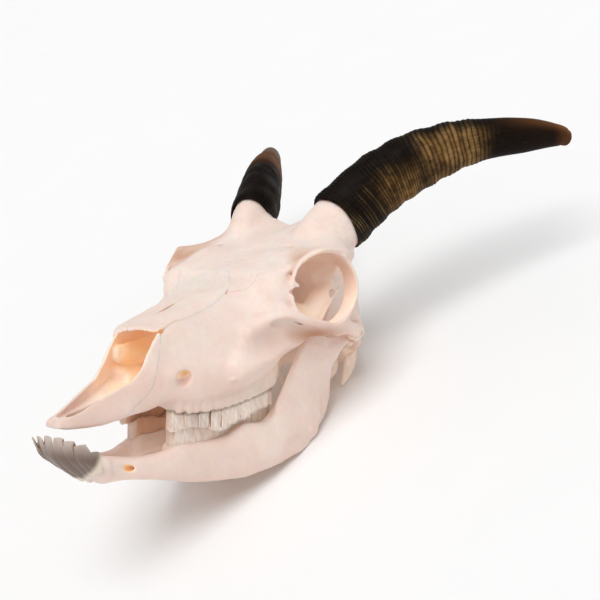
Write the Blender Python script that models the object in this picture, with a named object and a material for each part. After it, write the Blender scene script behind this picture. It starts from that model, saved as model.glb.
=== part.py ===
"""Skull of a domestic goat with its lower jaw and both horn sheaths, lying on its jaw.

Shapes are set out in millimetres in the animal's own frame: +X to its left, +Y to the back of
the head, +Z up, with the origin at the front tip of the upper jaw. The empty "skull_pose" turns
the finished pieces to the way the skull rests and scales them to metres.
"""
import math

import bmesh
import bpy
from mathutils import Euler, Matrix, Vector

MM = 0.001
GAP = 0.3            # free space between two bones that touch
REST_PITCH = 35.5    # degrees that the muzzle is raised when the skull lies as it would rest
FLOOR = -103.5       # height of the resting plane in the tipped frame, mm
MIDDLE = (6.8, 154.5)    # middle of the tipped skull in plan, mm

# Main sizes of the head
ORBIT_CENTRE = Vector((52.7, 137.6, 67.0))
ORBIT_RADII = (20.6, 19.8)      # half its width and half its height
ORBIT_YAW = 18.0                # degrees that the opening is turned to the front

for old in list(bpy.data.objects):
    bpy.data.objects.remove(old, do_unlink=True)


# ---------------------------------------------------------------- modelling helpers

def spline(points, count):
    """Resample a row of vectors by Catmull-Rom, evenly in the parameter."""
    rows = [Vector(p) for p in points]
    rows = [rows[0] * 2 - rows[1]] + rows + [rows[-1] * 2 - rows[-2]]
    spans = len(rows) - 3
    out = []
    for i in range(count):
        t = spans * i / (count - 1)
        k = min(int(t), spans - 1)
        u = t - k
        a, b, c, d = rows[k:k + 4]
        out.append(0.5 * (2 * b + (c - a) * u + (2 * a - 5 * b + 4 * c - d) * u * u
                          + (3 * b - a - 3 * c + d) * u ** 3))
    return out


def mesh_object(name, verts, faces):
    mesh = bpy.data.meshes.new(name)
    mesh.from_pydata([tuple(v) for v in verts], [], faces)
    obj = bpy.data.objects.new(name, mesh)
    bpy.context.collection.objects.link(obj)
    work = bmesh.new()
    work.from_mesh(mesh)
    bmesh.ops.recalc_face_normals(work, faces=work.faces)
    work.to_mesh(mesh)
    work.free()
    return obj


def ring_loft(name, rings):
    """A closed body through a row of rings with equal counts of points."""
    size = len(rings[0])
    verts = [v for ring in rings for v in ring]
    faces = [tuple(reversed(range(size)))]
    for k in range(len(rings) - 1):
        for i in range(size):
            j = (i + 1) % size
            faces.append((k * size + i, k * size + j, (k + 1) * size + j, (k + 1) * size + i))
    faces.append(tuple(range((len(rings) - 1) * size, len(rings) * size)))
    return mesh_object(name, verts, faces)


def profile_loft(name, stations, along="Y", side=13, step=30):
    """A body through cross-sections, each (place, outline points), open outlines mirrored in X."""
    flat = []
    for place, outline in stations:
        points = spline([(a, b) for a, b in outline], side)
        flat.append([Vector((p.x, place, p.y)) if along == "Y" else Vector((p.x, p.y, place))
                     for p in points])
    columns = [spline([row[i] for row in flat], step) for i in range(side)]
    rings = []
    for k in range(step):
        half = [columns[i][k] for i in range(side)]
        mirror = [Vector((-p.x, p.y, p.z)) for p in half[1:-1]]
        rings.append(half + mirror[::-1])
    return ring_loft(name, rings)


def slab_loft(name, stations, along="Y", side=16, step=24, power=2.6):
    """A body on one side through rounded boxes: (place, x middle, half x, other middle, half other)."""
    rows = spline([Vector(s[:3]) for s in stations], step)
    rest = spline([Vector((s[0], s[3], s[4])) for s in stations], step)
    rings = []
    for a, b in zip(rows, rest):
        ring = []
        for i in range(side):
            t = 2 * math.pi * i / side
            c, s = math.cos(t), math.sin(t)
            u = a.y + a.z * math.copysign(abs(c) ** (2 / power), c)
            w = b.y + b.z * math.copysign(abs(s) ** (2 / power), s)
            ring.append(Vector((u, a.x, w)) if along == "Y" else Vector((u, w, a.x)))
        rings.append(ring)
    return ring_loft(name, rings)


def sweep(name, path, radii, side=14, step=24, flat_to=None):
    """A tube through path, its radii (one number or two) given at each point; ends are rounded."""
    centres = spline(path, step)
    wide = spline([Vector((r, r, 0)) if isinstance(r, (int, float)) else Vector((r[0], r[1], 0))
                   for r in radii], step)
    rings = []
    up = Vector(flat_to) if flat_to else Vector((0, 0, 1))
    for i, centre in enumerate(centres):
        ahead = centres[min(i + 1, step - 1)] - centres[max(i - 1, 0)]
        ahead.normalize()
        across = ahead.cross(up)
        if across.length < 1e-4:
            across = ahead.cross(Vector((1, 0, 0)))
        across.normalize()
        lift = across.cross(ahead)
        rings.append((centre, ahead, across, lift, wide[i].x, wide[i].y))
    caps = [0.35, 0.75]
    first, last = rings[0], rings[-1]
    table = []
    for share in caps:
        table.append((first[0] - first[1] * first[5] * (1 - share) * 0.8, *first[1:4],
                      first[4] * share, first[5] * share))
    table += rings
    for share in reversed(caps):
        table.append((last[0] + last[1] * last[5] * (1 - share) * 0.8, *last[1:4],
                      last[4] * share, last[5] * share))
    out = []
    for centre, ahead, across, lift, a, b in table:
        out.append([centre + across * a * math.cos(2 * math.pi * k / side)
                    + lift * b * math.sin(2 * math.pi * k / side) for k in range(side)])
    return ring_loft(name, out)


def egg(name, centre, radii, turn=(0, 0, 0), side=24):
    """An ellipsoid, turned by degrees about X, Y and Z."""
    work = bmesh.new()
    bmesh.ops.create_uvsphere(work, u_segments=side, v_segments=side // 2, radius=1.0)
    spin = Euler([math.radians(t) for t in turn]).to_matrix().to_4x4()
    bmesh.ops.transform(work, verts=work.verts,
                        matrix=Matrix.Translation(centre) @ spin @ Matrix.Diagonal((*radii, 1)))
    mesh = bpy.data.meshes.new(name)
    work.to_mesh(mesh)
    work.free()
    obj = bpy.data.objects.new(name, mesh)
    bpy.context.collection.objects.link(obj)
    return obj


def other_side(obj):
    """The mirror image of a body in the plane between the two halves of the head."""
    mesh = obj.data.copy()
    mesh.transform(Matrix.Diagonal((-1, 1, 1, 1)))
    mesh.flip_normals()
    twin = bpy.data.objects.new(obj.name + "_r", mesh)
    bpy.context.collection.objects.link(twin)
    return twin


def both(obj):
    return [obj, other_side(obj)]


def settle(obj):
    """Turn an object's modifiers into its mesh."""
    mesh = bpy.data.meshes.new_from_object(obj.evaluated_get(bpy.context.evaluated_depsgraph_get()))
    obj.modifiers.clear()
    obj.data = mesh
    return obj


def fuse(name, bodies, voxel, smooth=4):
    """Melt bodies into one skin."""
    work = bmesh.new()
    for body in bodies:
        work.from_mesh(body.data)
        bpy.data.objects.remove(body, do_unlink=True)
    mesh = bpy.data.meshes.new(name)
    work.to_mesh(mesh)
    work.free()
    obj = bpy.data.objects.new(name, mesh)
    bpy.context.collection.objects.link(obj)
    melt = obj.modifiers.new("melt", "REMESH")
    melt.mode = "VOXEL"
    melt.voxel_size = voxel
    relax = obj.modifiers.new("relax", "SMOOTH")
    relax.factor = 0.5
    relax.iterations = smooth
    return settle(obj)


def thin_out(obj, triangles):
    """Reduce a skin to about so many triangles."""
    now = sum(len(face.vertices) - 2 for face in obj.data.polygons)
    thin = obj.modifiers.new("thin", "DECIMATE")
    thin.ratio = min(1.0, triangles / now)
    return settle(obj)


def cut(obj, cutters, operation="DIFFERENCE"):
    """Take bodies away from obj, or keep what lies inside one; the cutters go."""
    for cutter in cutters:
        boolean = obj.modifiers.new("cut", "BOOLEAN")
        boolean.operation = operation
        boolean.object = cutter
        bpy.context.view_layer.update()
        settle(obj)
        bpy.data.objects.remove(cutter, do_unlink=True)
    return obj


def main_body(obj):
    """Drop the loose crumbs that a cut leaves beside the main body."""
    work = bmesh.new()
    work.from_mesh(obj.data)
    left = set(work.verts)
    islands = []
    while left:
        front = [left.pop()]
        island = set(front)
        while front:
            for edge in front.pop().link_edges:
                for vert in edge.verts:
                    if vert in left:
                        left.discard(vert)
                        island.add(vert)
                        front.append(vert)
        islands.append(island)
    islands.sort(key=len)
    bmesh.ops.delete(work, geom=[v for island in islands[:-1] for v in island], context="VERTS")
    work.to_mesh(obj.data)
    work.free()
    return obj


def twin_of(obj, name):
    """A second object with a copy of the same mesh."""
    twin = bpy.data.objects.new(name, obj.data.copy())
    bpy.context.collection.objects.link(twin)
    return twin


def prism(name, outline, low, high, along="X"):
    """An upright slice of the outline between two places along an axis."""
    def at(a, b, c):
        return Vector((c, a, b)) if along == "X" else Vector((a, b, c))
    return ring_loft(name, [[at(a, b, end) for a, b in outline] for end in (low, high)])


# ---------------------------------------------------------------- the face and the roof

# Cross-sections of the face from the middle of the roof round to the middle of the palate, as (x, z)
FACE = [
    (-3.0, [(0, 2.6), (3.0, 2.3), (4.6, 1.0), (4.8, -1.6), (0, -2.4)]),
    (4.0, [(0, 7.0), (4.2, 6.2), (6.6, 3.6), (7.0, -2.2), (0, -2.0)]),
    (20.0, [(0, 19.6), (6.6, 18.0), (10.2, 11.0), (11.0, -0.8), (0, 2.0)]),
    (34.0, [(0, 35.6), (8.8, 33.4), (13.4, 19.0), (14.8, 3.0), (0, 7.0)]),
    (43.0, [(0, 43.2), (11.0, 41.0), (14.9, 29.6), (17.2, 5.4), (0, 9.0)]),
    (54.0, [(0, 48.4), (13.6, 46.0), (17.4, 33.0), (20.4, 9.4), (0, 10.0)]),
    (70.0, [(0, 56.0), (15.0, 53.0), (22.4, 36.0), (26.0, 9.0), (0, 10.5)]),
    (88.0, [(0, 64.4), (17.0, 60.6), (29.0, 41.0), (33.4, 14.0), (0, 11.0)]),
    (104.0, [(0, 72.5), (22.0, 70.0), (39.5, 54.0), (36.6, 20.0), (0, 12.0)]),
    (118.0, [(0, 80.4), (30.0, 78.6), (44.5, 64.0), (36.0, 26.0), (0, 14.0)]),
    (131.0, [(0, 86.4), (34.0, 85.4), (40.0, 62.0), (30.0, 30.0), (0, 18.0)]),
]

# The roof of the orbits, a broad plate that thickens towards the horns
BROW = [
    (112.0, [(0, 77.0), (28, 75.2), (40.5, 69.0), (28, 65.0), (0, 60)]),
    (122.0, [(0, 82.0), (32, 80.0), (46.5, 75.6), (32, 70.0), (0, 60)]),
    (132.0, [(0, 86.4), (37, 86.4), (52.0, 84.4), (35, 77.0), (0, 60)]),
    (141.0, [(0, 90.2), (40, 89.5), (56.0, 86.6), (37, 79.0), (0, 60)]),
    (150.0, [(0, 94.2), (37, 93.8), (56.2, 88.0), (40, 79.0), (0, 60)]),
    (160.0, [(0, 98.4), (29, 100.6), (54.6, 88.0), (40, 78.0), (0, 60)]),
    (170.0, [(0, 101.4), (22, 106.4), (47.0, 91.0), (37, 76.0), (0, 60)]),
    (180.0, [(0, 100.0), (22, 104.0), (37.0, 92.0), (32, 74.0), (0, 60)]),
]

BRAINCASE = [
    (128.0, [(0, 80), (14, 78), (20, 60), (16, 34), (0, 30)]),
    (145.0, [(0, 90), (22, 88), (27, 62), (20, 34), (0, 28)]),
    (160.0, [(0, 98), (26, 92), (33, 62), (25, 34), (0, 28)]),
    (175.0, [(0, 100), (27, 90), (35, 60), (28, 34), (0, 28)]),
    (188.0, [(0, 93), (26, 82), (35, 55), (29, 34), (0, 28)]),
    (198.0, [(0, 84), (24, 74), (33, 50), (24, 32), (0, 29)]),
    (205.0, [(0, 72), (18, 66), (26, 48), (15, 34), (0, 33)]),
]


# ---------------------------------------------------------------- teeth

def tooth_row(name, start, lengths, lobes, place):
    """Crowns in a row; place gives (x, z of the neck, z of the tip, half width) at a y."""
    bodies = []
    y = start
    for length, count in zip(lengths, lobes):
        for lobe in range(count):
            middle = y + length * (lobe + 0.5) / count
            reach = 0.5 * length / count
            x, neck, tip, half = place(middle)
            root = neck + 5.0 * math.copysign(1, neck - tip)
            bodies.append(sweep(name, [(x - 0.6, middle, root), (x, middle, 0.6 * neck + 0.4 * tip),
                                       (x + 0.3, middle, 0.2 * neck + 0.8 * tip),
                                       (x + 0.8, middle, tip)],
                                [(reach * 1.1, half), (reach * 1.12, half), (reach * 0.98, half * 0.8),
                                 (reach * 0.35, half * 0.35)],
                                side=12, step=10, flat_to=(1, 0, 0)))
        y += length
    return bodies


def bite_height(y):
    """Height of the line where the two tooth rows meet, level and then rising to the back."""
    return -7.4 + 0.24 * max(0.0, y - 84.0)


def upper_place(y):
    t = (y - 56) / 70
    x = 20.2 + 5.0 * math.sin(min(1.0, 1.25 * t) * math.pi / 2)
    neck = 3.6 + 10.5 * max(0.0, t - 0.25) ** 1.3
    return x, neck, bite_height(y), 2.8 + 2.2 * math.sin(math.pi * min(1.0, 0.25 + 0.75 * t))


def lower_place(y):
    t = (y - 60) / 68
    x = 16.0 + 6.8 * t
    neck = -13.6 + 17.5 * max(0.0, t - 0.25) ** 1.2
    return x, neck, bite_height(y) + 1.0 - 2.0 * t, 2.4 + 1.3 * math.sin(math.pi * min(1.0, 0.2 + 0.8 * t))


# ---------------------------------------------------------------- the cranium

def orbit_turn():
    return Matrix.Rotation(math.radians(-ORBIT_YAW), 3, "Z")


def orbit_ring():
    """The thin raised rim of an orbit."""
    turn = orbit_turn()
    points = []
    radii = []
    for i in range(17):
        t = 2 * math.pi * i / 16
        flat = Vector((0, 1.05 * ORBIT_RADII[0] * math.cos(t), 1.05 * ORBIT_RADII[1] * math.sin(t)))
        points.append(ORBIT_CENTRE + turn @ flat + Vector((-1.6, 0, 0)))
        radii.append((1.5, 1.9 + 0.8 * (1 - abs(math.sin(t)))))
    return sweep("rim", points, radii, side=10, step=60, flat_to=turn @ Vector((1, 0, 0)))


def cranium_solids():
    """All bodies of the cranium; the paired ones come with their twins."""
    bodies = [profile_loft("face", FACE, side=17, step=40),
              profile_loft("brow", BROW, side=17, step=34),
              profile_loft("braincase", BRAINCASE, side=17, step=30)]
    paired = [
        orbit_ring(),
        # lacrimal and cheek bones, from the face out to the front and foot of the rim
        egg("lacrimal", (33.0, 114.5, 63.5), (13.0, 12.5, 13.0), (0, 0, -24)),
        sweep("jugal", [(36, 102, 38), (43, 113, 46), (49, 126, 46.5), (53, 140, 44.8), (53, 151, 45)],
              [(6, 11), (5, 9), (3.4, 6.2), (2.8, 4.2), (2.4, 4.2)]),
        sweep("cheek", [(32, 92, 24), (36, 103, 32), (41, 115, 40)], [7, 7.5, 7.5]),
        sweep("zygomatic", [(53, 149, 46), (53.5, 160, 46), (49.5, 172, 44.5), (42, 182, 43),
                            (31, 186, 42)],
              [(2.2, 4.2), (2.2, 4.2), (2.6, 4.0), (5.0, 3.6), (7.0, 5.0)]),
        sweep("rear_bar", [(53, 150, 86), (56.2, 157.0, 77), (57.0, 159.5, 66), (55.4, 157.0, 54),
                           (52.8, 152, 47)],
              [(3.0, 5.4), (1.9, 3.6), (1.7, 3.2), (1.9, 3.6), (2.4, 5.0)], flat_to=(1, 0, 0)),
        egg("brow_back", (48.0, 165.0, 86.5), (6.0, 8.0, 5.0)),
        egg("tuber", (33.6, 89.5, 20.5), (3.2, 5.5, 2.6), (20, 0, -12)),
        slab_loft("alveolus", [(54, 17.0, 2.8, 9, 3.6), (62, 18.6, 4.2, 8.4, 5.6),
                               (74, 20.6, 5.8, 8.4, 5.6), (90, 22.8, 6.4, 9.4, 5.4),
                               (106, 24.2, 6.5, 13.4, 6.0), (120, 24.4, 5.8, 16.4, 8.0),
                               (129, 24.4, 5.4, 16.8, 9.6), (132, 24.4, 4.6, 22.0, 8.0)]),
        # rear of the palate, pterygoid plates and the base of the skull
        sweep("pterygoid", [(15, 122, 20), (14, 138, 20), (12.5, 150, 22), (12, 162, 28)],
              [(3.4, 9.0), (2.0, 10.0), (1.6, 10.0), (2.4, 7.0)]),
        egg("bulla", (20.5, 184, 22.5), (6.0, 10.0, 9.0), (-18, 0, 8)),
        egg("mastoid", (30.5, 190.5, 41), (7.6, 7.0, 13.0)),
        egg("ear", (34.0, 184, 38.5), (6.0, 4.2, 4.6)),
        sweep("jugular", [(28, 195, 38), (29, 195.5, 26), (28.4, 193.6, 17), (27.2, 191.4, 11.6)],
              [(3.6, 5.6), (2.6, 5.0), (1.8, 3.6), (0.9, 1.5)], flat_to=(0, 1, 0)),
        egg("condyle", (11.5, 206.5, 30.5), (7.6, 6.4, 9.0), (20, 0, -25)),
    ]
    paired += tooth_row("upper_tooth", 56.0, (8, 8, 8.5, 13, 15.5, 17), (1, 1, 1, 2, 2, 2), upper_place)
    for body in paired:
        bodies += both(body)
    bodies.append(sweep("base", [(0, 150, 31), (0, 175, 27), (0, 196, 26), (0, 206, 30)],
                        [(9, 5), (9, 5), (12, 5), (12, 5)]))
    bodies.append(sweep("nuchal", [(-31, 190, 58), (-25, 198, 72), (0, 202, 79), (25, 198, 72),
                                   (31, 190, 58)], [3.4, 3.6, 3.8, 3.6, 3.4]))
    return bodies


def orbit_hollow():
    turn = orbit_turn()
    path = []
    radii = []
    for depth, wide, tall in ((-14, *ORBIT_RADII), (0, *ORBIT_RADII), (7, 20.0, 18.0),
                              (18, 17.2, 15.2), (29, 11.5, 10.0)):
        path.append(ORBIT_CENTRE + turn @ Vector((-depth, -0.06 * depth, -0.16 * max(depth, 0))))
        radii.append((wide, tall))
    return sweep("orbit_hollow", path, radii, side=28, step=16)


def temporal_hollow():
    """The space behind the orbit, between the braincase and the arch."""
    return sweep("temporal_hollow", [(44, 152, 62), (46, 163, 64), (45, 173, 60)],
                 [(8.0, 13.0), (9.5, 14.5), (7.0, 11.0)], side=20, step=10)


def nasal_hollow():
    """The inside of the nose, open to the front between the nasal bones and the incisive bones."""
    stations = [
        (-8.0, [(0, 22.0), (7, 20.0), (7.6, 9.0), (4.0, 4.4), (0, 3.6)]),
        (6.0, [(0, 34.0), (9, 32.0), (9.6, 14.0), (5.2, 2.4), (0, 1.4)]),
        (22.0, [(0, 46.0), (11.6, 44.0), (12.0, 20.0), (8.6, 5.4), (0, 4.6)]),
        (38.0, [(0, 48.0), (13.0, 45.0), (14.6, 27.0), (12.6, 9.4), (0, 8.2)]),
        (52.0, [(0, 45.6), (12.4, 43.0), (16.0, 30.0), (16.0, 13.0), (0, 12.0)]),
        (68.0, [(0, 51.0), (12.0, 47.6), (17.6, 33.0), (17.6, 15.0), (0, 14.6)]),
        (82.0, [(0, 50.0), (8.0, 46.0), (12.0, 34.0), (10.0, 22.0), (0, 20.0)]),
    ]
    return profile_loft("nasal_hollow", stations, side=13, step=26)


def foramen(name, at, inward, radii):
    """A blind hole for a nerve, from a place on the skin inward."""
    start = Vector(at) - Vector(inward).normalized() * 4
    return sweep(name, [start, Vector(at), Vector(at) + Vector(inward)], [radii, radii, radii], side=12,
                 step=5)


# ---------------------------------------------------------------- the bones of the snout

# Plan of the left nasal bone: free tip, side corner, long side seam, rear point
NASAL_PLAN = [(0, 43.4), (3.6, 41.4), (7.5, 40.6), (10.4, 45.4), (14.2, 53.0), (15.4, 70.0),
              (16.9, 92.0), (15.0, 103.0), (8.0, 110.0), (0, 113.0)]
# The seam between the incisive bone and the upper jaw, seen from the side as (y, z)
INCISIVE_SEAM = [(27.0, -9.0), (31.7, 3.8), (37.2, 8.6), (42.8, 13.3), (45.6, 17.1), (47.4, 23.0),
                 (50.5, 32.0), (52.0, 40.0)]


def roof_height(y):
    """Height of the middle of the roof over the snout."""
    return 43.6 + 0.474 * (y - 43.0) + 1.2 * math.sin(math.pi * min(1.0, max(0.0, (y - 43) / 62)))


def nasal_slab(name, side, inset, low, high):
    """The plan of a nasal bone between two depths below the arched roof."""
    outline = spline([(x, y, 0) for x, y in NASAL_PLAN], 22)
    middle = Vector((7.5, 76, 0))
    rows = []
    for point in outline:
        away = Vector((point.x - middle.x, point.y - middle.y, 0)).normalized()
        x = max(point.x - away.x * inset, inset)
        y = point.y - away.y * inset
        rows.append((x, y))
    rings = []
    for share in (0.0, 0.35, 0.7, 1.0):
        rings.append(rows if share == 0 else [(x + (7.5 - x) * share, y + (76 - y) * share)
                                              for x, y in rows])
    verts = []
    for level in (low, high):
        for ring in rings[:-1]:
            for x, y in ring:
                drop = 0.0135 * x * x
                verts.append(Vector((side * x, y, roof_height(y) - drop - level)))
    count = len(rows)
    faces = []
    layers = len(rings) - 1
    for top in (0, 1):
        base = top * layers * count
        for ring in range(layers - 1):
            for i in range(count):
                j = (i + 1) % count
                quad = [base + ring * count + i, base + ring * count + j,
                        base + (ring + 1) * count + j, base + (ring + 1) * count + i]
                faces.append(tuple(quad))
        faces.append(tuple(base + (layers - 1) * count + i for i in range(count)))
    for i in range(count):
        j = (i + 1) % count
        faces.append((i, j, layers * count + j, layers * count + i))
    return mesh_object(name, verts, faces)


def incisive_block(name, side, inset):
    """All of the snout before the seam, on one side of the middle plane."""
    outline = [(y - inset, z) for y, z in INCISIVE_SEAM] + [(50.0, 60.0), (-20.0, 60.0), (-20.0, -9.0)]
    near, far = (inset, 40.0) if side > 0 else (-40.0, -inset)
    return prism(name, outline, near, far)


# ---------------------------------------------------------------- horns

LEFT_HORN = [(27, 166, 92), (33, 175.5, 106), (38.7, 182.3, 115.7), (48.2, 193.6, 129),
             (64.7, 213.3, 144.5), (83.1, 235.2, 154.6), (102.7, 258.6, 159.6), (115, 273.0, 160.6),
             (118.4, 277.6, 159.6)]
RIGHT_HORN = [(-27, 166, 92), (-31, 175.5, 105.5), (-35, 183, 113), (-42, 194, 120),
              (-57.5, 216, 131), (-73.5, 239, 140), (-90.5, 262, 147.4), (-101.5, 277, 150.6),
              (-105, 281.6, 151.2)]
HORN_RADII = [(13.0, 17.6), (13.2, 18.3), (13.0, 18.2), (12.6, 17.8), (11.2, 16.0), (8.9, 12.6),
              (7.4, 10.2), (5.4, 6.8), (2.6, 3.2)]


def horn_body(name, path):
    return sweep(name, path, HORN_RADII, side=18, step=20)


def core_body(name, path, extra=0.0):
    """The bony core, a short blunt stump inside the sheath's mouth."""
    root = Vector(path[0]) - Vector((0.0, 0, 1)) * 5
    sizes = [(14.6, 18.6), (12.6, 16.9), (11.8, 16.4), (10.4, 14.8), (7.6, 10.6)]
    return sweep(name, [root, *path[:4]], [(a + extra, b + extra) for a, b in sizes], side=16, step=10)


def sheath_mouth(name, path):
    """What is cut away below the oblique mouth of a sheath."""
    ahead = (Vector(path[2]) - Vector(path[1])).normalized()
    tilt = (ahead + Vector((0.0, 0.35, 0.25))).normalized()
    turn = tilt.to_track_quat("Z", "Y").to_matrix().to_4x4()
    work = bmesh.new()
    bmesh.ops.create_cube(work, size=1.0)
    bmesh.ops.transform(work, verts=work.verts,
                        matrix=Matrix.Translation(Vector(path[1]) - tilt * 4.0) @ turn
                        @ Matrix.Translation((0, 0, -30)) @ Matrix.Diagonal((80, 80, 60, 1)))
    mesh = bpy.data.meshes.new(name)
    work.to_mesh(mesh)
    work.free()
    obj = bpy.data.objects.new(name, mesh)
    bpy.context.collection.objects.link(obj)
    return obj


# ---------------------------------------------------------------- lower jaw

def jaw_half():
    """The left half of the lower jaw with its teeth."""
    bodies = [
        slab_loft("jaw_body", [
            (6, 6.9, 6.8, -19.4, 3.8), (14, 7.0, 7.0, -22.4, 6.4), (24, 6.8, 6.4, -23.4, 6.4),
            (36, 8.4, 5.0, -24.0, 5.6), (48, 11.8, 4.6, -24.4, 6.0), (58, 15.0, 4.4, -23.8, 7.6),
            (66, 16.8, 4.6, -23.0, 9.4), (76, 18.8, 4.8, -23.6, 10.2), (92, 21.8, 5.4, -22.8, 11.4),
            (106, 25.0, 5.6, -19.4, 14.4), (120, 28.6, 5.6, -17.4, 13.2), (134, 31.4, 4.9, -8.8, 18.0),
            (147, 33.0, 4.2, -7.0, 15.8), (157, 33.8, 3.6, -6.4, 11.0)]),
        slab_loft("ramus", [
            (-21.0, 32.6, 2.4, 143, 8), (-15.0, 32.8, 3.4, 145.4, 16.8), (-6, 33.0, 3.6, 145.6, 21.8),
            (4, 33.6, 3.4, 146.0, 22.9), (14, 34.4, 3.1, 148.2, 20.6), (24, 35.6, 3.0, 150.0, 18.0),
            (34, 37.0, 3.0, 152.7, 15.7), (40, 37.6, 2.6, 156, 15.0)], along="Z"),
        sweep("coronoid", [(38, 148, 36), (38.6, 151, 48), (39, 156, 58), (39.4, 162, 65)],
              [(2.4, 8.0), (2.0, 6.0), (1.6, 4.4), (1.2, 2.2)], flat_to=(0, -1, 0)),
        sweep("neck", [(38.0, 163, 32), (38.2, 167.0, 36), (38.4, 169.0, 38.4)],
              [(4.0, 6.4), (6.0, 4.0), (8.0, 3.2)]),
    ]
    bodies += tooth_row("lower_tooth", 60.0, (6, 7, 8, 12, 14.5, 20), (1, 1, 1, 2, 2, 3), lower_place)
    # incisor fan: each crown leans forward and outward from the front of the jaw
    for k in range(4):
        tip = Vector((3.0 + 5.6 * k - 0.25 * k * k, -7.0 + 0.6 * k + 1.25 * k * k,
                      -6.6 - 0.35 * k * k))
        root = Vector((2.2 + 3.6 * k, 9.0 + 0.5 * k * k, -21.5 + 0.5 * k))
        middle = (tip + root) / 2 + Vector((0, -1.6, -2.4))
        bodies.append(sweep("incisor_%d" % k, [root, middle, tip], [(2.0, 2.3), (3.0, 2.0), (3.9, 1.5)],
                            side=10, step=8, flat_to=(0.22 * k, -0.7 + 0.1 * k, -0.7 + 0.04 * k)))
    return bodies


def box(name, low, high):
    return prism(name, [(low[1], low[2]), (high[1], low[2]), (high[1], high[2]), (low[1], high[2])],
                 low[0], high[0])


def floor_block():
    """What lies below the resting plane, given in the animal's frame."""
    block = box("floor", (-300, -300, FLOOR - 80), (300, 300, FLOOR))
    block.data.transform(Matrix.Rotation(math.radians(REST_PITCH), 4, "X"))
    return block


def plain_material(name, colour, roughness):
    material = bpy.data.materials.new(name)
    material.use_nodes = True
    shader = material.node_tree.nodes["Principled BSDF"]
    shader.inputs["Base Color"].default_value = (*colour, 1.0)
    shader.inputs["Roughness"].default_value = roughness
    shader.inputs["Metallic"].default_value = 0.0
    return material


def build():
    bone = plain_material("bone", (0.84, 0.75, 0.68), 0.55)
    horn_skin = plain_material("horn", (0.035, 0.026, 0.018), 0.45)
    cranium = fuse("cranium", cranium_solids()
                   + [core_body("core_l", LEFT_HORN), core_body("core_r", RIGHT_HORN)], 1.1)
    thin_out(cranium, 24000)
    cut(cranium, both(orbit_hollow()) + both(temporal_hollow()) + [nasal_hollow()])
    cut(cranium, both(foramen("infraorbital", (21.5, 63.5, 21.3), (-4, 7, 2), (2.4, 3.0))))
    cut(cranium, [sweep("foramen_magnum", [(0, 215, 43), (0, 205, 44), (0, 194, 46)],
                        [(9.0, 7.6), (8.6, 7.4), (7.6, 6.6)], side=18, step=6)])
    thin_out(cranium, 3900)
    snout = twin_of(cranium, "snout")
    cut(cranium, [nasal_slab("n", s, -GAP, 3.4, -9.0) for s in (1, -1)])
    cut(cranium, [prism("front", [(y + GAP / 2, z) for y, z in INCISIVE_SEAM]
                        + [(52.0, 60.0), (-20.0, 60.0), (-20.0, -9.0)], -40, 40)])
    incisive = cut(snout, [incisive_block("b", 1, GAP / 2)], "INTERSECT")
    cut(incisive, [nasal_slab("n", 1, -GAP, 3.4, -9.0)])
    jaw = fuse("mandible_left", jaw_half(), 0.9, smooth=2)
    cut(jaw, [foramen("mental", (11.4, 36.0, -23.6), (-3, 6, 0), (2.0, 1.4))])
    thin_out(jaw, 1150)
    cut(jaw, [box("middle", (-30, -30, -60), (GAP / 2, 80, 20))])
    cut(jaw, [floor_block()])
    cut(cranium, [floor_block()])
    incisive.name = "premaxilla_left"
    pieces = [cranium, jaw, incisive, nasal_slab("nasal_left", 1, GAP / 2, 0.0, 3.0)]
    for piece in pieces[1:4]:
        main_body(piece)
        twin = other_side(piece)
        twin.name = piece.name.replace("left", "right")
        pieces.append(twin)
    for word, path in (("left", LEFT_HORN), ("right", RIGHT_HORN)):
        horn = horn_body("horn_" + word, path)
        brow = profile_loft("brow", BROW, side=13, step=16)
        brow.data.transform(Matrix.Translation((0, 0, 2.0)))
        cut(horn, [sheath_mouth("mouth", path), core_body("core", path, 1.3), brow])
        pieces.append(main_body(horn))
    main_body(cranium)
    for piece in pieces:
        piece.data.materials.clear()
        piece.data.materials.append(horn_skin if piece.name.startswith("horn") else bone)
    return pieces


pieces = build()
pose = bpy.data.objects.new("skull_pose", None)
bpy.context.collection.objects.link(pose)
pose.rotation_euler = (math.radians(-REST_PITCH), 0, 0)
pose.location = (-MIDDLE[0] * MM, -MIDDLE[1] * MM, -FLOOR * MM)
pose.scale = (MM, MM, MM)
for piece in pieces:
    piece.parent = pose
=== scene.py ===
"""A dry, bleached goat skull with its lower jaw and its two dark horn sheaths, lying as it would
rest on a pale table: on the angles of the jaw and on the knobs of the neck joint."""
import math

import bpy
import numpy as np
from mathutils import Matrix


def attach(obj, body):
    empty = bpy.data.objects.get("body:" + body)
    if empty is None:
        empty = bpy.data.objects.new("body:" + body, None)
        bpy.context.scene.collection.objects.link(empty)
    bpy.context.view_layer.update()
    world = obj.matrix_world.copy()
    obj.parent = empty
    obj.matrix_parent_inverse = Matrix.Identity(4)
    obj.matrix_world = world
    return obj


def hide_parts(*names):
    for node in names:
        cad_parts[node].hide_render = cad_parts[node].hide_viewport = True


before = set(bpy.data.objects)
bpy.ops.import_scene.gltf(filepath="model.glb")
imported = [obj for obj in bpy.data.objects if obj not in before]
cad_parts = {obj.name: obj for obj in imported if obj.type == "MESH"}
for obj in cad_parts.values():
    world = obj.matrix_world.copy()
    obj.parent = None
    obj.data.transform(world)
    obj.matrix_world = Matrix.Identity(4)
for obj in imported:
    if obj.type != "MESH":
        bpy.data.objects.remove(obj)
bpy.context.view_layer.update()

import openvdb
from mathutils import Matrix, Vector


# ==== How the head lies =========================================================================
# The bones are set out in millimetres on the animal's own head: +X to its left, +Y to the back of
# the head, +Z up, from the front tip of the upper jaw. Lying down, the head is tipped back until
# it bears on the two jaw angles and the condyles.

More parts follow.
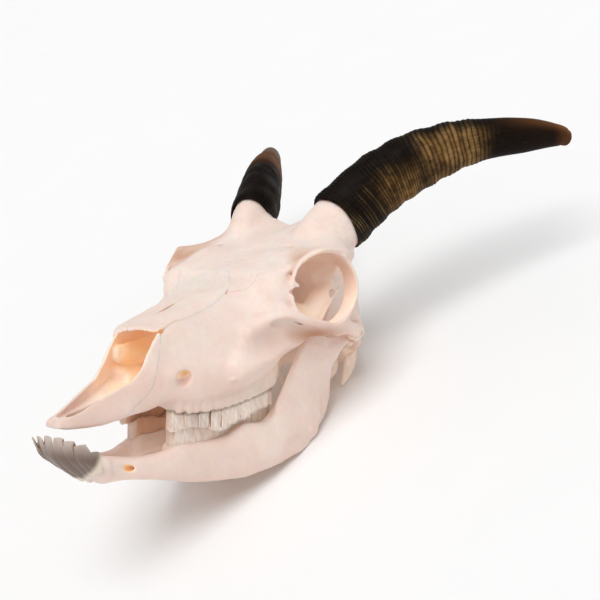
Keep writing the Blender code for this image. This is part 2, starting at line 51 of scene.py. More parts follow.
TIPPED_BACK = math.radians(35.5)
TIP_COS, TIP_SIN = math.cos(TIPPED_BACK), math.sin(TIPPED_BACK)
TURN = np.array(((1.0, 0.0, 0.0), (0.0, TIP_COS, TIP_SIN), (0.0, -TIP_SIN, TIP_COS)))
PLACE = np.array((-6.8, -154.5, 103.5))


def lay_down(points):
    """From the head's own millimetres to where the point lies on the table, in metres."""
    return (np.asarray(points, float) @ TURN.T + PLACE) * 0.001


# ==== The cranium ===============================================================================
# The upper skull is many thin bones grown together along fine seams: face, roof, orbits and
# braincase, bleached by the sun. It is sculpted in wax: rounded parts are melted into each other
# where the real bones run together, and the hollows are pressed in.

GRAIN = 0.7     # mm between the points of the wax
HEAD_LOW, HEAD_HIGH = (-9, -8, -6), (66, 217, 130)     # the block for the left half of the head


def spline(rows, count):
    """A smooth run of points through the given rows."""
    rows = np.asarray(rows, float)
    rows = np.concatenate((2 * rows[:1] - rows[1:2], rows, 2 * rows[-1:] - rows[-2:-1]))
    spans = len(rows) - 3
    t = np.linspace(0, spans, count)
    k = np.minimum(t.astype(int), spans - 1)
    u = (t - k).reshape(-1, *[1] * (rows.ndim - 1))
    a, b, c, d = rows[k], rows[k + 1], rows[k + 2], rows[k + 3]
    return 0.5 * (2 * b + (c - a) * u + (2 * a - 5 * b + 4 * c - d) * u * u
                  + (3 * b - a - 3 * c + d) * u ** 3)


def skin_over(rings):
    """Points, four-sided and three-sided faces of a closed body through a row of rings."""
    rings = np.asarray(rings, float)
    count, side = rings.shape[:2]
    points = np.vstack((rings.reshape(-1, 3), rings[0].mean(0), rings[-1].mean(0)))
    i = np.arange(side)
    j = (i + 1) % side
    quads = np.vstack([np.stack((k * side + i, k * side + j, (k + 1) * side + j,
                                 (k + 1) * side + i), 1) for k in range(count - 1)])
    last = (count - 1) * side
    tris = np.vstack((np.stack((j, i, np.full(side, count * side)), 1),
                      np.stack((last + i, last + j, np.full(side, count * side + 1)), 1)))
    return points, quads, tris


def sections(stations, side=41, step=90):
    """A body through upright cross-sections: (y, half outline from the top round to the foot)."""
    half = np.stack([spline(outline, side) for _, outline in stations])
    half = spline(half, step)
    places = spline([[y] for y, _ in stations], step)
    x = np.concatenate((half[:, :, 0], -half[:, -2:0:-1, 0]), 1)
    z = np.concatenate((half[:, :, 1], half[:, -2:0:-1, 1]), 1)
    return skin_over(np.stack((x, np.repeat(places, x.shape[1], 1), z), 2))


def slab(stations, along="Y", side=40, step=70, power=2.6):
    """A rounded board: (place, x middle, half x, other middle, half other) at each station."""
    rows = spline(stations, step)
    t = np.linspace(0, 2 * math.pi, side, endpoint=False)
    c = np.sign(np.cos(t)) * np.abs(np.cos(t)) ** (2 / power)
    s = np.sign(np.sin(t)) * np.abs(np.sin(t)) ** (2 / power)
    place = np.repeat(rows[:, :1], side, 1)
    u = rows[:, 1:2] + rows[:, 2:3] * c
    w = rows[:, 3:4] + rows[:, 4:5] * s
    return skin_over(np.stack((u, place, w) if along == "Y" else (u, w, place), 2))


def rod(path, radii, thin_way=(0, 0, 1), side=28, step=60):
    """A rounded rod; each radius is one number, or (across, towards thin_way)."""
    line = spline(path, step)
    wide = spline([(r, r) if isinstance(r, (int, float)) else r for r in radii], step)
    ahead = np.gradient(line, axis=0)
    ahead /= np.linalg.norm(ahead, axis=1)[:, None]
    across = np.cross(ahead, np.asarray(thin_way, float))
    across /= np.linalg.norm(across, axis=1)[:, None]
    lift = np.cross(across, ahead)
    t = np.linspace(0, 2 * math.pi, side, endpoint=False)[None, :, None]
    body = (line[:, None] + across[:, None] * wide[:, :1, None] * np.cos(t)
            + lift[:, None] * wide[:, 1:, None] * np.sin(t))
    ends = []
    for k, way in ((0, -1), (-1, 1)):
        for share in (0.98, 0.9, 0.7, 0.4):
            out = way * 0.9 * min(wide[k]) * math.sqrt(1 - share * share)
            ends.append(line[k] + (body[k] - line[k]) * share + ahead[k] * out)
    return skin_over(np.concatenate((np.array(ends[3::-1]), body, np.array(ends[4:]))))


def egg(centre, radii, turn=(0, 0, 0), side=36):
    """A rounded lump, turned by degrees about X, Y and Z."""
    t = np.linspace(0, 2 * math.pi, side, endpoint=False)
    p = np.linspace(0.04, math.pi - 0.04, side // 2)[:, None]
    ball = np.stack((np.cos(t) * np.sin(p), np.sin(t) * np.sin(p), np.cos(p) + 0 * t), 2)
    spin = np.eye(3)
    for axis, degrees in zip("XYZ", turn):
        spin = np.array(Matrix.Rotation(math.radians(degrees), 3, axis)) @ spin
    return skin_over((ball * radii) @ spin.T + np.asarray(centre, float))


class Wax:
    """A block of points; depth holds how far each lies outside (+) or inside (-) the skin."""

    REACH = 9.0     # mm beyond which a distance is only known to be far

    def __init__(self, low, high, grain):
        self.grain = grain
        self.low = np.floor(np.array(low) / grain).astype(int)
        self.size = np.ceil(np.array(high) / grain).astype(int) - self.low + 1
        self.depth = np.full(self.size, self.REACH, np.float32)

    def distance(self, body):
        """Distances to a body and the part of the block they belong to."""
        points, quads, tris = body
        edge = int(self.REACH / self.grain) + 1
        low = np.maximum(np.floor(points.min(0) / self.grain).astype(int) - edge, self.low)
        high = np.minimum(np.ceil(points.max(0) / self.grain).astype(int) + edge,
                          self.low + self.size - 1)
        grid = openvdb.FloatGrid.createLevelSetFromPolygons(
            points.astype(np.float32), triangles=tris.astype(np.uint32),
            quads=quads.astype(np.uint32),
            transform=openvdb.createLinearTransform(self.grain),
            halfWidth=self.REACH / self.grain)
        out = np.empty(high - low + 1, np.float32)
        grid.copyToArray(out, ijk=tuple(int(v) for v in low))
        place = tuple(slice(a, b) for a, b in zip(low - self.low, high - self.low + 1))
        return out, place

    @staticmethod
    def melt(a, b, width):
        """The nearer of two distances, with the join rounded over a width in mm."""
        near = np.maximum(width - np.abs(a - b), 0.0) / width
        return np.minimum(a, b) - near * near * width * 0.25

    def add(self, *bodies, join=3.0):
        """Melt bodies on; each join is rounded over a width in mm."""
        for body in bodies:
            out, place = self.distance(body)
            self.depth[place] = self.melt(self.depth[place], out, join)

    def press(self, *bodies, join=0.6):
        """Take a body's shape away."""
        for body in bodies:
            out, place = self.distance(body)
            self.depth[place] = -self.melt(-self.depth[place], out, join)

    def press_field(self, field, join=0.6):
        """Take away all that lies inside (-) a given field of distances."""
        self.depth = -self.melt(-self.depth, field, join)

    def grid_points(self):
        """The x, y and z of the block's points, in mm."""
        axes = [(np.arange(n) + a) * self.grain for n, a in zip(self.size, self.low)]
        return np.meshgrid(*axes, indexing="ij", sparse=True)

    def whole(self):
        """Make the right half of the head after the left one."""
        left = self.depth[-self.low[0]:]
        self.depth = np.concatenate((left[:0:-1], left))
        self.low[0] = 1 - len(left)
        self.size = np.array(self.depth.shape)

    def sample(self, points):
        """The distance at any points."""
        g = np.clip(points / self.grain - self.low, 0, self.size - 1.001)
        k = g.astype(int)
        f = (g - k).astype(np.float32)
        out = 0.0
        for corner in range(8):
            bit = np.array([(corner >> a) & 1 for a in range(3)])
            share = np.prod(np.where(bit, f, 1 - f), axis=1)
            out = out + share * self.depth[tuple((k + bit).T)]
        return out

    def skin(self, depth=None):
        """The points and faces of the surface, without crumbs too small to be bone."""
        grid = openvdb.FloatGrid(self.REACH)
        grid.transform = openvdb.createLinearTransform(self.grain)
        grid.copyFromArray(np.ascontiguousarray(self.depth if depth is None else depth),
                           ijk=tuple(int(v) for v in self.low))
        points, quads = grid.convertToQuads(isovalue=0)
        return without_crumbs(points.astype(float), quads.astype(np.int64))


def without_crumbs(points, quads):
    """The skins that are at least a fortieth as large as the largest."""
    label = np.arange(len(points))
    while True:
        least = label[quads].min(1)
        new = label.copy()
        for k in range(4):
            np.minimum.at(new, quads[:, k], least)
        new = new[new]
        if np.array_equal(new, label):
            break
        label = new
    names, counts = np.unique(label, return_counts=True)
    kept = np.isin(label, names[counts * 40 >= counts.max()])
    number = np.cumsum(kept) - 1
    return points[kept], number[quads[kept[quads[:, 0]]]]


def normals_of(points, quads):
    """The way each point of a skin faces."""
    a, b, c, d = (points[quads[:, k]] for k in range(4))
    face = np.cross(c - a, d - b)
    out = np.zeros_like(points)
    for k in range(4):
        np.add.at(out, quads[:, k], face)
    return out / np.maximum(np.linalg.norm(out, axis=1), 1e-12)[:, None]


def hollowness(wax, points, normal):
    """0 on open bone, towards 1 in pits and grooves, below 0 on ridges."""
    total = 0.0
    for step in (0.9, 2.0, 4.2):
        total = total + (step - wax.sample(points + normal * step)) / step
    return total / 3


def lumps(points, size, seed):
    """Smooth noise from -1 to 1 whose lumps are about size mm across."""
    lattice = np.random.default_rng(seed).uniform(-1, 1, (32, 32, 32)).astype(np.float32)
    g = points / size + 100.0
    k = np.floor(g).astype(int)
    f = g - k
    f = f * f * (3 - 2 * f)
    out = 0.0
    for corner in range(8):
        bit = np.array([(corner >> a) & 1 for a in range(3)])
        share = np.prod(np.where(bit, f, 1 - f), axis=1)
        out = out + share * lattice[tuple(((k + bit) % 32).T)]
    return out


def step_up(low, high, value):
    """0 below low, 1 above high, smooth between."""
    t = np.clip((value - low) / (high - low), 0, 1)
    return t * t * (3 - 2 * t)


def beside(path, u, v):
    """Signed distance in a plane to an open line; far away past its ends."""
    path = np.asarray(path, float)
    best = np.full(np.broadcast(u, v).shape, 1e3)
    for k, (p, q) in enumerate(zip(path[:-1], path[1:])):
        way = q - p
        length = math.hypot(*way)
        share = ((u - p[0]) * way[0] + (v - p[1]) * way[1]) / length ** 2
        held = np.clip(share, 0, 1)
        off = np.hypot(u - p[0] - held * way[0], v - p[1] - held * way[1])
        side = np.sign(way[0] * (v - p[1]) - way[1] * (u - p[0]))
        past = ((share < 0) & (k == 0)) | ((share > 1) & (k == len(path) - 2))
        off = np.where(past, 1e3, off)
        best = np.where(off < np.abs(best), off * np.where(side == 0, 1, side), best)
    return best


# The tube of the face, from the middle of its roof round to the middle of the palate, (x, z)
FACE = [
    (-3.0, [(0, 2.6), (3.0, 2.3), (4.6, 1.0), (4.8, -1.6), (0, -2.4)]),
    (4.0, [(0, 7.0), (4.2, 6.2), (6.6, 3.6), (7.0, -2.2), (0, -2.0)]),
    (20.0, [(0, 19.6), (6.6, 18.0), (10.2, 11.0), (11.0, -0.8), (0, 2.0)]),
    (34.0, [(0, 35.6), (8.8, 33.4), (13.4, 19.0), (14.8, 3.0), (0, 7.0)]),
    (43.0, [(0, 43.2), (11.0, 41.0), (14.9, 29.6), (17.2, 5.4), (0, 9.0)]),
    (54.0, [(0, 48.0), (13.6, 45.7), (17.4, 33.0), (20.4, 9.4), (0, 10.0)]),
    (70.0, [(0, 54.3), (15.0, 51.7), (22.4, 36.0), (26.0, 9.0), (0, 10.5)]),
    (88.0, [(0, 61.9), (16.6, 58.6), (27.4, 40.6), (33.0, 14.0), (0, 11.0)]),
    (104.0, [(0, 69.8), (21.0, 66.8), (33.6, 52.4), (36.0, 20.0), (0, 12.0)]),
    (118.0, [(0, 77.0), (30.0, 75.8), (42.6, 63.6), (36.0, 26.0), (0, 14.0)]),
    (131.0, [(0, 82.6), (34.0, 83.4), (40.0, 62.0), (30.0, 30.0), (0, 18.0)]),
    (144.0, [(0, 84.0), (32.0, 83.0), (36.0, 62.0), (27.0, 34.0), (0, 22.0)]),
]
# The roof of the orbits, a broad plate that thickens towards the horns
BROW = [
    (112.0, [(0, 74.0), (26, 73.0), (36.4, 70.6), (26, 63.5), (0, 58)]),
    (122.0, [(0, 78.8), (34, 80.2), (45.8, 80.0), (32, 70.0), (0, 60)]),
    (132.0, [(0, 84.2), (39, 86.8), (53.2, 87.4), (36, 77.5), (0, 60)]),
    (141.0, [(0, 89.0), (40, 90.0), (56.0, 88.0), (38, 79.5), (0, 60)]),
    (150.0, [(0, 94.2), (37, 93.8), (56.2, 88.0), (40, 79.0), (0, 60)]),
    (160.0, [(0, 98.4), (29, 100.6), (52.4, 88.0), (40, 78.0), (0, 60)]),
    (170.0, [(0, 101.4), (22, 106.4), (44.0, 91.0), (37, 76.0), (0, 60)]),
    (180.0, [(0, 100.0), (22, 104.0), (37.0, 92.0), (32, 74.0), (0, 60)]),
]
BRAINCASE = [
    (128.0, [(0, 80), (14, 78), (20, 60), (16, 34), (0, 30)]),
    (145.0, [(0, 84), (22, 82), (27, 62), (20, 34), (0, 28)]),
    (160.0, [(0, 93), (26, 90), (33, 62), (25, 34), (0, 28)]),
    (175.0, [(0, 100), (27, 90), (35, 60), (28, 34), (0, 28)]),
    (188.0, [(0, 93), (26, 82), (35, 55), (29, 34), (0, 28)]),
    (198.0, [(0, 84), (24, 74), (33, 50), (24, 32), (0, 29)]),
    (205.0, [(0, 72), (18, 66), (26, 48), (15, 34), (0, 33)]),
]
LEFT_HORN = [(27, 166, 92), (33, 175.5, 106), (38.7, 182.3, 115.7), (48.2, 193.6, 129),
             (64.7, 213.3, 144.5), (83.1, 235.2, 154.6), (102.7, 258.6, 159.6),
             (115, 273.0, 160.6), (118.4, 277.6, 159.6)]
RIGHT_HORN = [(-27, 166, 92), (-31, 175.5, 105.5), (-35, 183, 113), (-42, 194, 120),
              (-57.5, 216, 131), (-73.5, 239, 140), (-90.5, 262, 147.4), (-101.5, 277, 150.6),
              (-105, 281.6, 151.2)]

skull = Wax(HEAD_LOW, HEAD_HIGH, GRAIN)
x_at, y_at, z_at = skull.grid_points()
skull.add(sections(FACE), sections(BROW), sections(BRAINCASE), join=5.0)
face_depth, face_place = skull.distance(sections(FACE))

# Cheek: the lacrimal bone, the zygomatic bone and the swelling of the upper jaw
skull.add(egg((32.2, 118.5, 65.0), (10.8, 10.0, 11.5), (0, 0, -24)),
          rod([(36, 102, 38), (43, 113, 46), (49, 126, 46.5), (53, 140, 44.8), (53, 151, 45)],
              [(6, 11), (5, 9), (3.4, 6.2), (2.8, 4.2), (2.4, 4.2)]),
          rod([(32, 92, 24), (36, 103, 32), (41, 115, 40)], [7, 7.5, 7.5]),
          rod([(37, 109, 41.5), (40.6, 118, 41.5), (43.8, 125.6, 42), (47.2, 132, 45),
               (50.5, 141, 46)],
              [(2.6, 6.6), (2.6, 6.8), (2.4, 6.0), (2.0, 3.8), (1.8, 3.4)]), join=5.0)
# A rough knob on the cheek, where a muscle of the lip took hold
for place, radii, turned in (((33.6, 89.0, 20.8), (2.8, 5.4, 2.2), (20, 0, -12)),
                             ((35.0, 86.4, 20.0), (1.3, 1.6, 1.0), (0, 0, 0)),
                             ((35.2, 89.6, 21.6), (1.3, 2.0, 0.9), (30, 0, 0)),
                             ((34.6, 92.6, 22.8), (1.2, 1.6, 0.9), (10, 0, 0))):
    skull.add(egg(place, radii, turned, side=24), join=1.0)
# Zygomatic arch, the bar behind the orbit and its root under the horn
skull.add(rod([(53, 149, 46), (53.5, 160, 46), (49.5, 172, 44.5), (42, 182, 43), (31, 186, 42)],
              [(2.2, 4.2), (2.2, 4.2), (2.6, 4.0), (5.0, 3.6), (7.0, 5.0)]),
          rod([(52.5, 151, 86), (54.6, 157.6, 77), (55.4, 159.6, 67), (54.2, 157.6, 55),
               (52.4, 152, 47.4)],
              [(5.4, 2.6), (3.8, 1.3), (3.4, 1.2), (3.8, 1.4), (4.6, 2.2)], (0.79, 0.61, 0)),
          egg((45.4, 162.5, 86.0), (5.0, 6.6, 4.6)), join=3.5)

# Each orbit is a ring of thin raised bone round a deep cone; its opening looks out and forward
ORBIT_CENTRE = np.array((52.7, 137.6, 67.0))
ORBIT_RADII = (20.6, 19.8)
ORBIT_TURN = np.array(Matrix.Rotation(math.radians(-18.0), 3, "Z"))
ring = []
ring_thickness = []
for k in range(33):
    t = 2 * math.pi * k / 32
    behind = 0.5 + 0.5 * math.cos(t)
    grown = 1.05 - 0.025 * behind
    flat = (-1.6, grown * ORBIT_RADII[0] * math.cos(t), grown * ORBIT_RADII[1] * math.sin(t))
    ring.append(ORBIT_CENTRE + ORBIT_TURN @ np.array(flat))
    ring_thickness.append((1.2 - 0.4 * behind, 1.7 + 0.8 * (1 - abs(math.sin(t)))))
skull.add(rod(ring, ring_thickness, ORBIT_TURN @ np.array((1.0, 0, 0)), step=120), join=2.0)

# Sockets of the cheek teeth, the plates beside the throat and the base of the braincase
skull.add(slab([(54, 13.6, 3.0, 10, 3.4), (60, 16.6, 3.8, 8.6, 5.2), (66, 18.4, 4.9, 8.4, 5.9),
                (76, 20.8, 6.4, 8.4, 5.4), (90, 23.0, 7.0, 9.4, 5.0), (106, 24.4, 6.9, 13.4, 5.8),
                (118, 24.6, 6.2, 16.4, 6.4), (126, 24.4, 5.4, 18.4, 6.6),
                (130.5, 24.4, 4.2, 22.6, 7.0)]),
          rod([(15, 122, 22), (14, 138, 26), (12.5, 150, 28), (12, 162, 30)],
              [(3.0, 8.0), (1.5, 6.5), (1.2, 6.5), (2.0, 6.0)]),
          rod([(12.5, 147, 25), (12.3, 151.5, 17.5), (12.7, 154.5, 12.5)], [1.2, 0.9, 0.7]),
          rod([(0, 150, 31), (0, 175, 27), (0, 196, 26), (0, 206, 30)],
              [(9, 5), (9, 5), (12, 5), (12, 5)]),
          egg((20.5, 184, 22.5), (6.0, 10.0, 9.0), (-18, 0, 8)),
          egg((30.5, 190.5, 41), (7.6, 7.0, 13.0)),
          egg((34.0, 184, 38.5), (6.0, 4.2, 4.6)),
          rod([(28, 195, 38), (29, 195.5, 26), (28.4, 193.6, 17), (27.2, 191.4, 11.6)],
              [(3.6, 5.6), (2.6, 5.0), (1.8, 3.6), (0.9, 1.5)], (0, 1, 0)),
          egg((11.5, 206.5, 30.5), (7.6, 6.4, 9.0), (20, 0, -25)), join=3.0)
# Each root of a cheek tooth lifts the bone over it a little and scallops its lower edge
for y in (61.5, 66.5, 70.5, 74.5, 77.5, 82, 85.5, 90, 95, 99, 104.5, 110, 114, 119.5):
    x = np.interp(y, (60, 66, 76, 90, 104, 122), (20.6, 23.6, 27.2, 29.2, 30.2, 29.6))
    z = np.interp(y, (60, 66, 74, 84, 94, 104, 122), (4.2, 3.2, 4.2, 5.0, 6.8, 9.0, 15.4))
    skull.add(rod([(x - 2.4, y + 0.3, z + 9), (x - 1.5, y, z + 4), (x - 1.2, y, z + 0.2)],
                  [1.0, 1.5, 1.4], (1, 0, 0), side=14, step=14), join=2.2)
skull.add(rod([(-31, 190, 58), (-25, 198, 72), (0, 202, 79), (25, 198, 72), (31, 190, 58)],
              [3.4, 3.6, 3.8, 3.6, 3.4]), join=3.0)

# The orbit's cone; at the back it opens past a crest into the pit of the chewing muscle
cone = []
cone_radii = []
for depth, wide, tall in ((-14, 21.4, 19.9), (0, 21.2, 19.5), (4, 20.6, 18.4), (8, 19.4, 17.2),
                          (18, 16.8, 15.0), (29, 11.5, 10.0)):
    back = 0.9 if depth < 10 else 0.0
    cone.append(ORBIT_CENTRE
                + ORBIT_TURN @ np.array((-depth, back - 0.06 * depth, -0.16 * max(depth, 0))))
    cone_radii.append((wide, tall))
skull.press(rod(cone, cone_radii, side=60, step=50), join=0.4)
skull.press(rod([(45, 149, 58), (46.6, 160, 59), (45.5, 170, 59), (44, 178, 56)],
                [(7.6, 9.0), (9.0, 12.0), (9.2, 12.5), (6.0, 8.0)]), join=2.0)
# Behind, the rim carries on inward as a thin curved wall
wall = []
for k in range(17):
    t = math.radians(-72 + 156 * k / 16)
    wall.append(ORBIT_CENTRE + ORBIT_TURN @ np.array((-6.6, 20.9 * math.cos(t) + 0.4,
                                                      19.6 * math.sin(t))))
skull.add(rod(wall, [(0.9, 2.0), (1.0, 5.2), (1.0, 6.2), (1.0, 5.6), (1.0, 3.0)],
              ORBIT_TURN @ np.array((1.0, 0, 0))), join=1.6)
# In its floor the tear bone swells inward and ends behind in a thin bright crest
skull.add(egg((35, 131, 51), (8.5, 12, 8.4), (4, 0, 8)), join=5.0)
skull.add(rod([(33.5, 164, 66.5), (35.5, 155, 61.5), (37.5, 146, 55), (39.5, 137, 47.5)],
              [(4.0, 4.0), (5.8, 5.6), (6.2, 6.0), (6.0, 5.0)]), join=5.0)
skull.add(rod([(38.6, 168.5, 67.5), (40.3, 161, 62.6), (42.6, 152, 56), (44.6, 143.5, 49.2)],
              [0.7, 0.8, 0.9, 1.0], step=40), join=1.2)
# The front of the rim carries a small tooth of bone over a notch and is nibbled above it
skull.add(rod([(44.8, 117.2, 69.4), (46.6, 119.0, 69.0), (47.6, 120.2, 68.2)], [1.7, 1.3, 0.7],
              step=12), join=1.4)
for place, radii in (((46.6, 118.4, 65.2), (2.6, 2.4, 1.7)),
                     ((48.6, 122.6, 79.6), (1.5, 1.2, 1.2)),
                     ((47.6, 120.6, 76.2), (1.2, 1.0, 1.3)),
                     ((50.2, 126.0, 82.6), (1.4, 1.5, 1.0))):
    skull.press(egg(place, radii, side=20), join=0.4)
# The cheek crest overhangs the long hollow that the chewing muscle grows from
skull.add(rod([(34.5, 106, 55.2), (38.6, 112, 54.8), (43.0, 119.2, 52.8), (46.8, 124.6, 50.0),
               (49.6, 130.6, 48.4), (52.0, 139, 47.0)], [1.8, 2.4, 2.8, 3.0, 2.9, 2.8]), join=4.0)
skull.press(rod([(45, 92, 36), (47.5, 101, 38.5), (51.2, 109, 40), (55.6, 117, 39.6),
                 (59.4, 126, 38), (62.0, 135, 36.0), (63.6, 146, 34.4), (64.4, 157, 33.4)],
                [9.0, 11, 12.2, 12.2, 12.4, 12.6, 12.8, 12.8]), join=4.5)
skull.press(rod([(41.0, 109.0, 48.6), (45.6, 115.6, 46.4), (49.6, 122.0, 43.6), (53.0, 129.4, 41.6),
                 (56.0, 138, 40.6)], [2.2, 4.8, 5.2, 4.6, 3.4]), join=1.2)
skull.press(rod([(38.0, 110.6, 53.6), (41.6, 116.0, 52.8), (44.6, 120.6, 51.0), (47.2, 124.4, 48.6)],
                [0.5, 1.0, 1.1, 0.7], step=30), join=0.5)
for place, radii, turned in (((46.6, 122.4, 51.4), (1.6, 3.0, 0.8), (-22, 0, -32)),
                             ((50.4, 129.6, 48.4), (1.5, 2.6, 0.9), (-14, 0, -20)),
                             ((52.0, 133.6, 47.4), (1.3, 2.0, 1.0), (-10, 0, -10))):
    skull.add(egg(place, radii, turned), join=0.6)
# Rough knobs and pits round the ear and the hinge of the jaw
for place, radii in (((47.5, 171.5, 41.5), (3.0, 4.0, 2.6)), ((44, 178, 43.5), (4.2, 3.0, 3.6)),
                     ((40, 184.5, 46), (3.8, 3.6, 4.0)), ((36.5, 189, 36), (3.2, 3.0, 4.6)),
                     ((32.5, 193.5, 48.5), (4.0, 3.4, 4.4)), ((38.5, 179, 36.5), (3.6, 3.0, 2.2)),
                     ((46.8, 175.0, 44.6), (2.4, 1.8, 2.0)), ((42.4, 181.0, 47.4), (2.0, 1.6, 2.2)),
                     ((45.2, 177.4, 39.6), (1.8, 1.8, 1.6)), ((39.6, 187.0, 42.4), (1.8, 1.6, 2.0)),
                     ((49.6, 168.0, 43.8), (1.6, 2.2, 1.2))):
    skull.add(egg(place, radii), join=1.0)
for place, radii in (((49.5, 175.5, 42.5), (2.0, 1.3, 1.1)), ((43.5, 183.0, 41.0), (3.0, 1.2, 1.6)),
                     ((37.5, 191.5, 41.5), (2.4, 1.4, 2.2)), ((33.0, 190.5, 30.0), (3.0, 1.6, 2.4)),
                     ((46.0, 180.5, 46.5), (2.2, 1.0, 0.9)), ((48.6, 172.4, 44.8), (1.4, 1.0, 1.6)),
                     ((44.8, 179.6, 42.6), (1.6, 1.2, 1.4)), ((41.0, 184.6, 45.4), (1.4, 1.0, 1.8)),
                     ((36.5, 190.6, 36.0), (1.6, 1.2, 2.0))):
    skull.press(egg(place, radii), join=0.6)

# The groove and nerve hole over the orbit, the tear hole and the hole of the ear
for path, radii in (
        ([(23, 123, 86.6), (24, 130, 88.2), (25, 137.6, 90.6), (25.4, 140.2, 88.0)],
         [(2.4, 1.2), (3.4, 1.7), (3.4, 2.0), (1.3, 1.3)]),
        ([(43.2, 115.6, 76.4), (43.6, 119.4, 74.0)], [(0.8, 0.9), (0.7, 0.8)]),
        ([(48.0, 183, 39.5), (36.0, 183.6, 39.0), (28, 184, 38)], [2.4, 2.2, 2.0])):
    skull.press(rod(path, radii, step=16), join=0.8)
# The neck hole, and one of the two slits in the palate
skull.press(rod([(0, 215, 43), (0, 205, 44), (0, 194, 46), (0, 180, 50)],
                [(9.0, 7.6), (8.6, 7.4), (7.6, 6.6), (12, 12)]), join=2.0)
skull.press(rod([(4.0, 8, -6), (4.4, 14, 1.0), (5.2, 32, 6), (5.4, 36, 8)],
                [(1.2, 3.0), (1.8, 3.6), (2.2, 4.0), (1.2, 3.0)]), join=0.8)

# The nose is a thin shell over an arched floor, open to the front above the line of the rim
NOSE_FLOOR = [(-8, 3.6), (6, 1.6), (22, 4.8), (38, 9.2), (52, 12.6), (68, 14.6), (96, 20)]
NOSE_RIM = [(-8, -1.0), (-1.5, 2.3), (5.4, 4.4), (13.6, 8.4), (21.5, 12.4), (27.9, 15.6),
            (34.7, 18.8), (40.4, 25.5), (43.7, 31.8), (48, 38.5), (53.3, 44.9), (56, 60)]
NOSE_WALL = 1.7                         # mm of bone round the nose
NOSE_FRONT, NOSE_BACK = 54.0, 90.0      # where its roof begins and where its hollow ends
from_face = np.full(skull.size, Wax.REACH, np.float32)
from_face[face_place] = face_depth
floor_line = np.interp(y_at, *np.array(NOSE_FLOOR).T)
rim_line = np.interp(y_at, *np.array(NOSE_RIM).T)
rim_slope = np.cos(np.arctan(np.gradient(rim_line.ravel(), y_at.ravel()))).reshape(y_at.shape)
nose = Wax(HEAD_LOW, HEAD_HIGH, GRAIN)
solid_head = skull.depth.copy()
inside = np.maximum(from_face + NOSE_WALL,
                    np.maximum(floor_line + 0.018 * x_at ** 2 - z_at, y_at - NOSE_BACK))
under_roof = np.where(y_at > NOSE_FRONT, 0.474 * (y_at - 43) + 40.8, 90)
inside = np.maximum(inside, z_at - under_roof)
nose.depth = inside.astype(np.float32)
skull.press_field(nose.depth, join=1.5)
above_rim = np.maximum((rim_line - z_at) * rim_slope,
                       np.maximum(y_at - NOSE_FRONT, np.abs(x_at) - 24))
skull.press_field(above_rim, join=0.5)

# Scrolls of thin bone in the nose, and the ridge along its floor
skull.add(rod([(1.3, 24, 6), (1.4, 44, 12.5), (1.4, 66, 18), (1.4, 90, 26)],
              [(0.7, 1.6), (0.8, 3.0), (0.8, 4.5), (0.9, 6)]), join=1.0)
skull.add(rod([(13.0, 50, 30), (12.0, 60, 31), (10.0, 76, 34), (9, 92, 38)],
              [(2.4, 4.5), (4.6, 5.6), (5.6, 6.6), (5, 6)]), join=2.0)
skull.add(rod([(12.4, 58, 17.5), (11.0, 70, 20), (10, 92, 24)], [(2.0, 2.2), (3.4, 3.6), (4, 4)]),
          join=2.0)

# The nerve of the lip leaves through a wide shallow pit with a small deep hole behind it
skull.add(egg((17.5, 65, 21.5), (6.8, 13, 8)), join=2.0)
skull.press(rod([(29.0, 56.5, 19.4), (24.8, 60.6, 20.4), (21.8, 64.0, 21.2)],
                [(5.3, 5.6), (4.4, 4.7), (2.9, 3.4)], step=24), join=0.9)
skull.press(rod([(23.0, 59.6, 22.0), (19.6, 65.6, 23.0)], [(2.4, 2.2), (1.2, 1.2)], step=12),
            join=0.6)

skull.whole()
nose.whole()
head = Wax(HEAD_LOW, HEAD_HIGH, GRAIN)
head.depth = solid_head
head.whole()
HORN_CORE = [(14.6, 18.6), (12.6, 16.9), (11.8, 16.4), (10.4, 14.8), (7.6, 10.6)]
for path in (LEFT_HORN, RIGHT_HORN):
    root = (path[0][0], path[0][1], path[0][2] - 5)
    skull.add(rod([root, *path[:4]], HORN_CORE), join=4.0)


# Bleached dry bone: matt and porous. Pits and grooves are darkened as painted shade, and where light
# would pass through thin bone, inside the nose, the orbits and the mouth, an orange glow is painted
# and given off as emission: painted light.

def linear(colour):
    """An sRGB hex colour as linear red, green, blue and a full alpha."""
    parts = [int(colour[k:k + 2], 16) / 255 for k in (1, 3, 5)]
    return (*[p / 12.92 if p <= 0.04045 else ((p + 0.055) / 1.055) ** 2.4 for p in parts], 1.0)


def add_node(tree, kind, inputs, out=0, **settings):
    """Add a shader node with its settings and links, and give one of its outputs. An input takes
    a number, a colour or another node's output."""
    node = tree.nodes.new("ShaderNode" + kind)
    for word, value in settings.items():
        setattr(node, word, value)
    for key, value in inputs.items():
        if isinstance(value, bpy.types.NodeSocket):
            tree.links.new(value, node.inputs[key])
        else:
            node.inputs[key].default_value = value
    return node.outputs[out]


def new_finish(name, facts=()):
    """A new material, its node tree, its shader, the place on the object in mm and its facts."""
    material = bpy.data.materials.new(name)
    material.use_nodes = True
    tree = material.node_tree
    place = add_node(tree, "TexCoord", {}, "Object")
    in_mm = add_node(tree, "VectorMath", {0: place, "Scale": 1000.0}, operation="SCALE")
    return (material, tree, tree.nodes["Principled BSDF"], in_mm,
            *[add_node(tree, "Attribute", {}, "Fac", attribute_name=word) for word in facts])


bone, tree, shader, at, hollow, painted_glow, shade_and_stain, seam = new_finish(
    "bleached_bone", ("hollow", "painted_glow", "shade_and_stain", "seam"))
